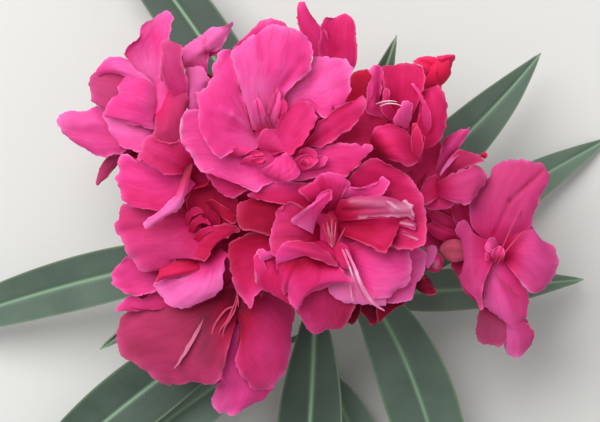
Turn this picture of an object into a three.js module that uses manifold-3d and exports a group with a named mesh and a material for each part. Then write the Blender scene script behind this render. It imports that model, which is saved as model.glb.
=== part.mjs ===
// Cut flowering shoot of a double-flowered oleander, lying with its flower head upwards.
// Millimetres, +Z up. The origin is on the surface it lies on, under the middle of its outline.
// Each stalk, leaf, flower and bud is one closed solid; neighbours keep a small gap.
import * as THREE from "three";
import { mergeVertices } from "three/addons/utils/BufferGeometryUtils.js";
import Module from "manifold-3d";

const wasm = await Module();
wasm.setup();

const GAP = 0.3; // clearance between pieces that touch
const SHARPNESS = 1.3; // more of it at the edges, where the sides move apart more slowly
const HEAD = new THREE.Vector3(18, 13, 0); // middle of the flower head, from the origin
const point = (x, y, z) => new THREE.Vector3(x, y, z).add(HEAD);
const rad = THREE.MathUtils.degToRad;
const UP = new THREE.Vector3(0, 0, 1);

// Woody parts. Points are measured from the middle of the flower head, on the resting surface.
const STEM_RADIUS = 3.2; // at the cut
const NECK_RADIUS = 2.3; // where the flower stalk begins
const STALK_RADIUS = 1.9;
const BOUGH_RADIUS = 1.5;
const PEDICEL_RADIUS = 1.0;
const STEM_PATH = [
  [-3, -150, STEM_RADIUS],
  [-3, -116, STEM_RADIUS],
  [-2, -84, 5],
  [1, -54, 11],
  [4, -30, 22],
  [5, -12, 37],
];
const STALK_PATH = [
  [5, -12, 37],
  [5, -6, 43],
  [4, 2, 51],
];
const BOUGHS = {
  bough_left: [[5, -4, 45], [-9, 1, 49], [-20, 5, 49]],
  bough_back: [[5, -2, 46], [1, 12, 46], [-8, 24, 42]],
  bough_right: [[5, -5, 44], [17, -3, 47], [27, 2, 46]],
};

// Flowers: where the throat is, which way the flower leans, how long its tube is, and its lobes.
// A lobe is the plan direction in degrees, its reach from the throat, and its tip's height.
const FLOWERS = {
  bloom_head: {
    throat: [-11, 20, 84], lean: [100, 8], tube: 20,
    lobes: [[2, 34, 90], [30, 39, 95], [60, 39, 96], [85, 44, 97], [108, 41, 97], [130, 34, 96],
      [155, 28, 94], [178, 29, 90], [205, 26, 87], [232, 20, 86], [262, 16, 86], [310, 19, 86]],
  },
  bloom_heart: {
    throat: [12, -5, 80], lean: [300, 8], tube: 20,
    lobes: [[10, 31, 84], [35, 31, 84], [75, 19, 88], [112, 20, 90], [166, 33, 78], [186, 33, 80],
      [206, 34, 80], [226, 39, 76], [247, 39, 75], [264, 37, 74], [285, 27, 78], [308, 34, 80],
      [330, 33, 82], [350, 31, 83]],
  },
  bloom_far_left: {
    throat: [-47, 40, 60], lean: [125, 32], tube: 20,
    lobes: [[30, 14, 66], [82, 28, 66], [102, 24, 64], [125, 22, 62], [150, 24, 60],
      [175, 27, 57], [197, 36, 50], [217, 30, 50], [237, 34, 46], [275, 18, 56], [340, 13, 62]],
  },
  bloom_back_left: {
    throat: [-33, 42, 55], lean: [155, 25], tube: 20,
    lobes: [[20, 12, 58], [61, 26, 54], [90, 20, 56], [128, 18, 60], [200, 12, 56], [300, 12, 56]],
  },
  bloom_back: {
    throat: [10, 48, 56], lean: [80, 30], tube: 20,
    lobes: [[5, 11, 58], [45, 16, 58], [75, 20, 57], [113, 24, 55], [170, 13, 56], [270, 12, 56]],
  },
  bloom_cupped: {
    throat: [34, 28, 72], lean: [40, 20], tube: 20,
    lobes: [[25, 18, 78], [67, 21, 82], [90, 22, 84], [113, 24, 84], [153, 15, 80],
      [204, 14, 82], [256, 14, 80], [299, 14, 76], [344, 16, 74]],
  },
  bloom_far_right: {
    throat: [64, -13, 54], lean: [357, 55], tube: 20,
    lobes: [[22, 20, 50], [40, 25, 51], [58, 33, 54], [76, 30, 57], [92, 24, 58], [141, 14, 62],
      [225, 15, 58], [256, 27, 50], [276, 36, 48], [290, 37, 48], [313, 24, 48], [350, 23, 46]],
  },
  bloom_half_open: {
    throat: [47, 9, 62], lean: [20, 45], tube: 18,
    lobes: [[7, 17, 66], [31, 18, 68], [62, 22, 66], [100, 12, 64], [180, 11, 62],
      [250, 11, 60], [325, 14, 62]],
  },
  bloom_front_left: {
    throat: [-22, -29, 62], lean: [245, 30], tube: 20,
    lobes: [[20, 12, 66], [110, 12, 66], [185, 36, 58], [200, 41, 56], [215, 41, 53],
      [231, 38, 50], [250, 32, 48], [265, 39, 42], [277, 38, 44], [292, 34, 52], [320, 27, 60]],
  },
  bloom_left_low: {
    throat: [-33, -5, 72], lean: [200, 25], tube: 20,
    lobes: [[90, 13, 76], [166, 27, 78], [184, 29, 76], [203, 33, 70], [219, 36, 64],
      [238, 31, 66], [262, 29, 70], [292, 22, 74], [355, 13, 76]],
  },
  bloom_left_high: {
    throat: [-36, 13, 78], lean: [165, 20], tube: 20,
    lobes: [[30, 12, 80], [90, 26, 84], [112, 27, 84], [140, 23, 83], [165, 24, 82], [184, 26, 82],
      [205, 26, 80], [230, 25, 84], [300, 12, 80]],
  },
};

// Buds: base, tip and widest radius.
const BUDS = {
  bud_twisted: { base: [40, 40, 58], tip: [51, 52, 70], radius: 4.7 },
  bud_round: { base: [45, -17, 44], tip: [46, -18, 58], radius: 3.4 },
  bud_slim: { base: [42, -20, 46], tip: [45, -12, 57], radius: 1.9 },
  bud_dark_left: { base: [21, -28, 50], tip: [17, -38, 53], radius: 2.4 },
  bud_dark_right: { base: [27, -28, 48], tip: [25, -39, 50], radius: 2.9 },
  bud_drooping: { base: [38, -20, 52], tip: [46, -28, 54], radius: 2.3 },
};

// Which limb carries each flower or bud, and how far along it the flower's own stalk begins.
const PEDICELS = {
  bloom_head: ["flower_stalk", 0.92],
  bloom_heart: ["flower_stalk", 0.7],
  bloom_left_high: ["bough_left", 0.93],
  bloom_left_low: ["bough_left", 0.78],
  bloom_front_left: ["bough_left", 0.45],
  bloom_far_left: ["bough_back", 0.94],
  bloom_back_left: ["bough_back", 0.72],
  bloom_back: ["bough_back", 0.5],
  bloom_cupped: ["bough_right", 0.62],
  bloom_half_open: ["bough_right", 0.95],
  bloom_far_right: ["bough_right", 0.86],
  bud_twisted: ["stalk_bloom_cupped", 0.45],
  bud_round: ["bough_right", 0.68],
  bud_slim: ["stalk_bud_round", 0.6],
  bud_dark_left: ["stalk_bud_dark_right", 0.5],
  bud_dark_right: ["bough_right", 0.35],
  bud_drooping: ["bough_right", 0.55],
};

// Leaves: how far along the stem they sit, then the midrib's bend and tip, the width and a roll.
const BLADE_THICKNESS = 1.0;
const LEAVES = {
  leaf_right_up: { node: 0.97, bend: [50, 14, 42], tip: [84, 55, 22], width: 19, roll: -12 },
  leaf_left: { node: 0.97, bend: [-40, -8, 40], tip: [-146, -47, 1], width: 19, roll: 12 },
  leaf_front_right: { node: 0.96, bend: [37, -22, 38], tip: [58, -128, 1], width: 25, roll: 0 },
  leaf_front_left: { node: 0.86, bend: [-32, -38, 34], tip: [-112, -112, 2], width: 23, roll: 0 },
  leaf_right: { node: 0.86, bend: [38, -30, 26], tip: [100, -24, 6], width: 15, roll: 10 },
  leaf_back_left: { node: 0.87, bend: [-8, 40, 40], tip: [-86, 124, 3], width: 21, roll: 0 },
  leaf_front: { node: 0.9, bend: [7, -42, 40], tip: [-2, -139, 7.5], width: 23, roll: 0 },
  leaf_right_low: { node: 0.75, bend: [50, -6, 20], tip: [110, 26, 1], width: 19, roll: -8 },
  leaf_front_left_low: { node: 0.74, bend: [-22, -52, 22], tip: [-84, -104, 1], width: 20, roll: 0 },
  leaf_front_right_low: { node: 0.66, bend: [20, -58, 13], tip: [27, -128, 1], width: 19, roll: 0 },
  leaf_back: { node: 0.93, bend: [18, 14, 38], tip: [33, 60, 46], width: 13, roll: 0 },
  leaf_small_left: { node: 0.93, bend: [-34, -22, 42], tip: [-69, -48, 34], width: 10, roll: 20 },
};

const COLOURS = {
  stem: 0x6f7a4a, stalk: 0x7c3a3c, leaf: 0x47604c, petal: 0xe0407f, bud: 0xc91f45,
};
const ROUGHNESS = { stem: 0.6, stalk: 0.55, leaf: 0.42, petal: 0.55, bud: 0.5 };

// Geometry from rings of equal length, closed by a fan at each end.
function loft(rings) {
  const sides = rings[0].length;
  const positions = rings.flat().flatMap((p) => p.toArray());
  const index = [];
  for (let r = 0; r + 1 < rings.length; r++) {
    for (let s = 0; s < sides; s++) {
      const a = r * sides + s;
      const b = r * sides + ((s + 1) % sides);
      index.push(a, b, b + sides, a, b + sides, a + sides);
    }
  }
  const ends = [rings[0], rings[rings.length - 1]];
  ends.forEach((ring, e) => {
    const middle = ring.reduce((sum, p) => sum.add(p), new THREE.Vector3()).divideScalar(sides);
    const centre = positions.length / 3;
    const start = e * (rings.length - 1) * sides;
    positions.push(...middle.toArray());
    for (let s = 0; s < sides; s++) {
      const a = start + s;
      const b = start + ((s + 1) % sides);
      index.push(centre, e ? a : b, e ? b : a);
    }
  });
  return new THREE.BufferGeometry()
    .setAttribute("position", new THREE.Float32BufferAttribute(positions, 3))
    .setIndex(index);
}

function volumeOf({ attributes: { position }, index }) {
  const [a, b, c] = [new THREE.Vector3(), new THREE.Vector3(), new THREE.Vector3()];
  let sixfold = 0;
  for (let i = 0; i < index.count; i += 3) {
    a.fromBufferAttribute(position, index.getX(i));
    b.fromBufferAttribute(position, index.getX(i + 1));
    c.fromBufferAttribute(position, index.getX(i + 2));
    sixfold += a.dot(b.cross(c));
  }
  return sixfold / 6;
}

// One closed surface from the rings, turned right side out if they ran the other way round.
function closed(rings) {
  const made = mergeVertices(loft(rings), 1e-4);
  if (volumeOf(made) < 0) made.setIndex([...made.index.array].reverse());
  made.computeVertexNormals();
  return made;
}

// The same surface moved outwards everywhere, to cut others with.
function swollen(geometry) {
  const made = geometry.clone();
  const { position, normal } = made.attributes;
  for (let i = 0; i < position.count; i++) {
    position.setXYZ(
      i,
      position.getX(i) + GAP * SHARPNESS * normal.getX(i),
      position.getY(i) + GAP * SHARPNESS * normal.getY(i),
      position.getZ(i) + GAP * SHARPNESS * normal.getZ(i),
    );
  }
  return made;
}

const solid = ({ attributes: { position }, index }) => new wasm.Manifold(new wasm.Mesh({
  numProp: 3,
  vertProperties: new Float32Array(position.array),
  triVerts: new Uint32Array(index.array),
}));

function geometryOf(made) {
  const { vertProperties, triVerts, numProp } = made.getMesh();
  const positions = [];
  for (let i = 0; i < vertProperties.length; i += numProp) {
    positions.push(...vertProperties.subarray(i, i + 3));
  }
  return new THREE.BufferGeometry()
    .setAttribute("position", new THREE.Float32BufferAttribute(positions, 3))
    .setIndex([...triVerts]);
}

const largest = (made) =>
  made.decompose().reduce((best, piece) => (piece.volume() > best.volume() ? piece : best));

const curveThrough = (path) =>
  new THREE.CatmullRomCurve3(path.map((p) => point(...p)), false, "centripetal");

// A round limb along a curve, tapering from one radius to the other.
function limb(curve, from, to, sides = 6, steps = 5) {
  const frames = curve.computeFrenetFrames(steps);
  const rings = [];
  for (let i = 0; i <= steps; i++) {
    const radius = THREE.MathUtils.lerp(from, to, i / steps);
    const centre = curve.getPointAt(i / steps);
    rings.push(Array.from({ length: sides }, (_, s) => {
      const turn = (2 * Math.PI * s) / sides;
      return centre.clone()
        .addScaledVector(frames.normals[i], radius * Math.cos(turn))
        .addScaledVector(frames.binormals[i], radius * Math.sin(turn));
    }));
  }
  return closed(rings);
}

// The direction that a flower faces.
function facing([heading, tilt]) {
  return new THREE.Vector3(
    Math.sin(rad(tilt)) * Math.cos(rad(heading)),
    Math.sin(rad(tilt)) * Math.sin(rad(heading)),
    Math.cos(rad(tilt)),
  );
}

// The flower's outline: each lobe has two shoulders, and lobes set well apart have a dip between.
const SHOULDER = 0.24; // share of the way to the next lobe
const LOBE_SPREAD = 60; // a lone lobe is no wider than if its neighbour were this far away
const DIP_FROM = 21; // degrees between lobes
const LOBE_DIP = 0.86; // reach left in the dip, as a share
const DIP_DROP = 1.5;
function outline(lobes) {
  const gapAfter = (i) => (lobes[(i + 1) % lobes.length][0] - lobes[i][0] + 360) % 360;
  return lobes.flatMap(([turn, reach, height], i) => {
    const after = lobes[(i + 1) % lobes.length];
    const back = Math.min(gapAfter((i + lobes.length - 1) % lobes.length), LOBE_SPREAD);
    const on = Math.min(gapAfter(i), LOBE_SPREAD);
    const shoulders = [
      [turn - back * SHOULDER, reach, height],
      [turn + on * SHOULDER, reach, height],
    ];
    if (gapAfter(i) < DIP_FROM) return shoulders;
    return [...shoulders, [
      turn + gapAfter(i) / 2,
      (LOBE_DIP * (reach + after[1])) / 2,
      (height + after[2]) / 2 - DIP_DROP,
    ]];
  });
}

// Share of the reach, share of the rise to the tip, and height above that, from under the rim
// over its edge to the middle of the face.
const LIMB_PROFILE = [[0.5, 0.35, -5], [1, 1, -0.6], [0.97, 1, 1], [0.5, 0.7, 4], [0.15, 0.3, 6]];
const TUBE_PROFILE = [[1, 1.5], [0.55, 2.6]]; // share of tube, radius
function flower({ throat, lean, tube, lobes }) {
  const axis = facing(lean);
  const centre = point(...throat);
  const side = new THREE.Vector3().crossVectors(new THREE.Vector3(0, 1, 0), axis).normalize();
  const front = new THREE.Vector3().crossVectors(axis, side);
  const edge = outline(lobes);
  const tubeRings = TUBE_PROFILE.map(([share, radius]) => edge.map(([turn]) =>
    centre.clone()
      .addScaledVector(axis, -tube * share)
      .addScaledVector(side, radius * Math.cos(rad(turn)))
      .addScaledVector(front, radius * Math.sin(rad(turn)))));
  const limbRings = LIMB_PROFILE.map(([out, up, over]) => edge.map(([turn, reach, height]) =>
    new THREE.Vector3(
      centre.x + reach * out * Math.cos(rad(turn)),
      centre.y + reach * out * Math.sin(rad(turn)),
      centre.z + (height - centre.z) * up + over,
    )));
  return closed([...tubeRings, ...limbRings]);
}

const flowerBase = ({ throat, lean, tube }) =>
  point(...throat).addScaledVector(facing(lean), -tube);

// A bud is a spindle on a straight line, blunt at its base and pointed at its tip.
const BUD_PROFILE = [[0, 0.45], [0.18, 0.8], [0.42, 1], [0.7, 0.74], [0.9, 0.32], [1, 0.08]];
const BUD_SIDES = 6;
function bud({ base, tip, radius }) {
  const start = point(...base);
  const axis = point(...tip).sub(start);
  const side = new THREE.Vector3(1, -1, 0).cross(axis).normalize();
  const front = new THREE.Vector3().crossVectors(axis, side).normalize();
  return closed(BUD_PROFILE.map(([along, wide]) =>
    Array.from({ length: BUD_SIDES }, (_, s) => {
      const turn = (2 * Math.PI * s) / BUD_SIDES;
      return start.clone()
        .addScaledVector(axis, along)
        .addScaledVector(side, radius * wide * Math.cos(turn))
        .addScaledVector(front, radius * wide * Math.sin(turn));
    })));
}

// The blade's width along the midrib, as a share: a short stalk, then a long taper both ways.
const LEAF_STALK = 0.04;
const LEAF_POINT = 0.03;
function bladeShare(along) {
  const blade = Math.max(0, (along - LEAF_STALK) / (1 - LEAF_STALK));
  return Math.max(Math.sin(Math.PI * blade ** 0.94) ** 0.9, 0.1 * (1 - along), LEAF_POINT);
}

const LEAF_STEPS = 10;
const LEAF_FOLD = 0.16; // rise of each half blade from the midrib, as a share of its width
function leaf({ node, bend, tip, width, roll }) {
  const curve = new THREE.QuadraticBezierCurve3(
    stemCurve.getPointAt(node), point(...bend), point(...tip));
  const rings = [];
  for (let i = 0; i <= LEAF_STEPS; i++) {
    const along = i / LEAF_STEPS;
    const centre = curve.getPoint(along);
    const ahead = curve.getTangent(along);
    const across = new THREE.Vector3().crossVectors(ahead, UP).normalize()
      .applyAxisAngle(ahead, rad(roll));
    const over = new THREE.Vector3().crossVectors(across, ahead).normalize();
    const wide = (width / 2) * bladeShare(along);
    const rise = LEAF_FOLD * wide;
    const thick = (BLADE_THICKNESS / 2) * Math.min(1, 0.45 + wide / 4);
    const section = [
      [-wide, rise], [-wide / 3, rise / 3 - thick], [wide / 3, rise / 3 - thick],
      [wide, rise], [wide / 2.5, rise / 2.5 + thick], [0, thick], [-wide / 2.5, rise / 2.5 + thick],
    ];
    rings.push(section.map(([x, z]) =>
      centre.clone().addScaledVector(across, x).addScaledVector(over, z)));
  }
  return closed(rings);
}

// Every piece so far: the finished solid, and the swollen one that later pieces are cut by.
const pieces = new Map();
function add(name, kind, geometry) {
  let made = solid(geometry);
  for (const other of pieces.values()) {
    if (made.intersect(other.tool).volume() > 0) made = made.subtract(other.tool);
  }
  const tool = solid(swollen(geometry)).add(solid(geometry));
  pieces.set(name, { kind, made: largest(made), tool });
}

const stemCurve = curveThrough(STEM_PATH);
const STEM_STEPS = 14;
const STEM_SIDES = 8;
const curves = { flower_stalk: curveThrough(STALK_PATH) };

add("stem", "stem", limb(stemCurve, STEM_RADIUS, NECK_RADIUS, STEM_SIDES, STEM_STEPS));
add("flower_stalk", "stalk", limb(curves.flower_stalk, NECK_RADIUS, STALK_RADIUS));
for (const [name, path] of Object.entries(BOUGHS)) {
  curves[name] = curveThrough(path);
  add(name, "stalk", limb(curves[name], STALK_RADIUS, BOUGH_RADIUS));
}

const byHeight = Object.entries(FLOWERS).sort((a, b) => b[1].throat[2] - a[1].throat[2]);
for (const [name, spec] of byHeight) add(name, "petal", flower(spec));
for (const [name, spec] of Object.entries(BUDS)) add(name, "bud", bud(spec));

// A pedicel runs from inside its limb to inside the flower's base, and the gap is cut from both ends.
const ENTERS = 1.2;
const PEDICEL_SIDES = 5;
const PEDICEL_STEPS = 4;
function pedicelCurve(name, [limbName, share]) {
  const start = curves[limbName].getPointAt(share);
  const isFlower = name in FLOWERS;
  const end = isFlower ? flowerBase(FLOWERS[name]) : point(...BUDS[name].base);
  const axis = isFlower
    ? facing(FLOWERS[name].lean)
    : point(...BUDS[name].tip).sub(end).normalize();
  const span = start.distanceTo(end);
  const under = end.clone().addScaledVector(axis, -span * 0.4);
  return new THREE.QuadraticBezierCurve3(start, under, end.addScaledVector(axis, ENTERS));
}
const inOrder = ["bloom_cupped", "bud_round", "bud_dark_right"]; // these carry other pedicels
const rest = Object.keys(PEDICELS).filter((name) => !inOrder.includes(name));
for (const name of [...inOrder, ...rest]) {
  const curve = pedicelCurve(name, PEDICELS[name]);
  curves[`stalk_${name}`] = curve;
  add(`stalk_${name}`, "stalk",
    limb(curve, PEDICEL_RADIUS, PEDICEL_RADIUS, PEDICEL_SIDES, PEDICEL_STEPS));
}

for (const [name, spec] of Object.entries(LEAVES)) add(name, "leaf", leaf(spec));

const shoot = new THREE.Group();
for (const [name, { kind, made }] of pieces) {
  const material = new THREE.MeshStandardMaterial({
    color: COLOURS[kind], roughness: ROUGHNESS[kind], metalness: 0,
  });
  const mesh = new THREE.Mesh(geometryOf(made), material);
  mesh.name = name;
  shoot.add(mesh);
}

export default shoot;
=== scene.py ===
"""A cut flowering shoot of an oleander, lying with its flower head upwards.

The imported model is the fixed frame. Petals, buds, leaves, stalks and stem are built around it, in
metres, and stand for the nodes that they replace.
"""

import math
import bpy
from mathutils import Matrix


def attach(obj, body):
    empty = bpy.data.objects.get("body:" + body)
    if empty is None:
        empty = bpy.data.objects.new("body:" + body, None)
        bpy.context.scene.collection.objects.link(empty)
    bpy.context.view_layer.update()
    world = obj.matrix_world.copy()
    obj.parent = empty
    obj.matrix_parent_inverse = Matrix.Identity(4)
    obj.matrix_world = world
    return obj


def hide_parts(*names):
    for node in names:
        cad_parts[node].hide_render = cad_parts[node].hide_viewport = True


bl_info = {
    "name": "Flowering Shoot",
    "version": (1, 0, 0),
    "blender": (4, 5, 0),
    "location": "3D View > Sidebar > Shoot",
    "description": "Builds the petals, buds, leaves, stalks and studio of a cut flowering shoot",
    "category": "Object",
}

from typing import NamedTuple

import bmesh
import bpy
import numpy as np
from mathutils import Matrix, Vector

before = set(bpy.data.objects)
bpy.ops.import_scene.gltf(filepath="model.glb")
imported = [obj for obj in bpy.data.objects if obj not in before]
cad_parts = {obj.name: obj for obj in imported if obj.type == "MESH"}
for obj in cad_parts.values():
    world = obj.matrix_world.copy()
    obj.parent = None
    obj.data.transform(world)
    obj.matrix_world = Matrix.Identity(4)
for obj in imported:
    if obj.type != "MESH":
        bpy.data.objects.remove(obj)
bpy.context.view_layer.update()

MM = 0.001
SEED = 41
UP = np.array((0.0, 0.0, 1.0))
HEAD = np.array((18.0, 13.0, 0.0))  # middle of the flower head, mm

# The plan of the head is drawn on a sheet: x to the right and y towards the cut end, three units to
# the millimetre for whatever lies at the sheet's own height. The camera looks straight down on it.
SHEET_MIDDLE = (300.0, 211.0)
SHEET_WIDTH = 600.0
SHEET_SCALE = 3.0
SHEET_LEVEL = 75.0  # mm above the floor
CAMERA_RISE = 1200.0  # mm above the sheet

LINE_STEPS = 400  # steps along a smoothed outline or stem
CELL_MARGIN = 0.04  # share of a patch's cell in the bake map that stays empty on each side
SHARP_EDGE = 50  # degrees

# Petals: waves are the shortest and the longest in mm, tones are shares of the ramp
EDGE_WAVES = (4, 10)  # ruffled edge
BLADE_WAVES = (12, 26)  # slow swell of the whole petal
BLADE_SWELL = 0.16  # its share of the ruffle's height
TONE_WAVES = (6, 18)  # soft patches of tone
TONE_SWELL = 0.02  # their strength
NICKS = ((0.9, 2.5, 6.0), (0.6, 1.2, 2.4))  # of the free edge: depth in sheet units, then waves
RIBS = (2.3, 3.9, 6.1)  # lengthwise ribs to a petal
RIB_HEIGHT = 0.07  # mm
RIM_HIGHLIGHT_TONE = 0.24  # painted highlight: how much lighter the thin rim is
RIM_HIGHLIGHT_PALE = 0.08  # how much of the pale tint that painted highlight has
LARGE_PETAL = 28.0  # sheet units from root to tip from which a petal casts painted shade on those below it
COVER_REACH = 12.0  # sheet units to which that painted shade reaches beside its edge
COVER_PAINTED_SHADE = 0.04  # and how much darker in tone the painted shade makes them
UNDER_SHRINK = 0.84  # size of the petal under a large one
UNDER_DROP = (3, 4.5, 5)  # mm that it lies lower, at root, middle and tip
# painted shade: how much lower the tone of the petal under a large one is
UNDER_PAINTED_SHADE = 0.22

FUNNEL_RADII = (1.5, 2.2, 5.4)  # foot, neck and mouth of a flower's tube, mm
FUNNEL_SHARE = 0.8  # share of the tube's length that is built, up to where the petals part
SEPALS = 5
SEPAL_TURN = 13  # degrees from the frame's axes to the first sepal
VEIN_SLANT = 0.45  # mm that a leaf's side veins run ahead for each mm away from the midrib
STALK_RADII = (1.05, 1.0, 1.0, 1.15, 1.6)  # along a flower's or bud's stalk, mm
STALK_BEND = 0.4  # share of its span from which it follows the flower's axis
STALK_IN = 1.2  # mm that it runs into the flower's foot
THREAD_TAPER = (0.5, 1, 1, 0.4)  # shares of a thread's radius along it
LEAF_JOINT = (0.35, 0.012)  # swelling of the stem under a leaf, mm, and share of the stem it takes

LAMP_PLACE = (-0.55, 0.75, 1.3)  # m
LAMP_AIM = 0.06  # m above the floor, under the camera
SENSOR_WIDTH = 36.0  # mm


class Petal(NamedTuple):
    """One petal, drawn on the sheet."""
    outline: str  # x,y places from the root round the tip and back to the root
    heights: tuple  # mm, at root, middle and tip
    cup: float = 0.0  # mm by which both sides stand higher
    tilt: float = 0.0  # mm by which the last side stands higher than the first
    tone: tuple = (0.3, 0.55)  # from dark, 0, to light, 1, at root and tip; the petal's own colour with painted light and shade
    across: float = 0.0  # gain of tone from the first side to the last: painted light on one side, painted shade on the other
    mauve: float = 0.0  # shares of the mauve, scarlet and pale tints; the mauve is a painted lilac cast of sky reflection and shade
    red: float = 0.0
    pale: float = 0.0
    rim: float = 1.0  # strength of the painted highlight along the edge
    wave: float = 1.0  # share of the full ruffle
    rib: float = 1.0  # share of the full lengthwise ribs
    under: bool = True  # whether a petal darkened by painted shade lies under it, if it is large
    step: float = 1.8  # sheet units between the rows of its mesh
    folds: tuple = ()  # each x, y, x, y, rise in mm, half width and change of tone, painted shade where negative and a painted highlight where positive
    streaks: tuple = ()  # each x, y, x, y, half width and share of the pale tint


class Flower(NamedTuple):
    """An open flower: its throat (mm from the middle of the head), the heading and tilt of its axis
    (degrees), the length of its tube (mm) and its petals from the lowest to the highest."""
    throat: tuple
    lean: tuple
    tube: float
    petals: tuple


class Bud(NamedTuple):
    """A furled bud: foot and tip (mm from the middle of the head), radius, tone and tints. Its pale
    tint is a painted highlight near the tip.
    """
    foot: tuple
    tip: tuple
    radius: float
    tone: float
    mauve: float = 0.0
    red: float = 0.0
    pale: float = 0.0


class Leaf(NamedTuple):
    """A leaf: share of the way up the stem, bend and tip (mm from the middle of the head), width
    (mm), roll (degrees) and lightness, which is painted light and shade for the whole leaf."""
    share: float
    bend: tuple
    tip: tuple
    width: float
    roll: float
    light: float


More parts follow.
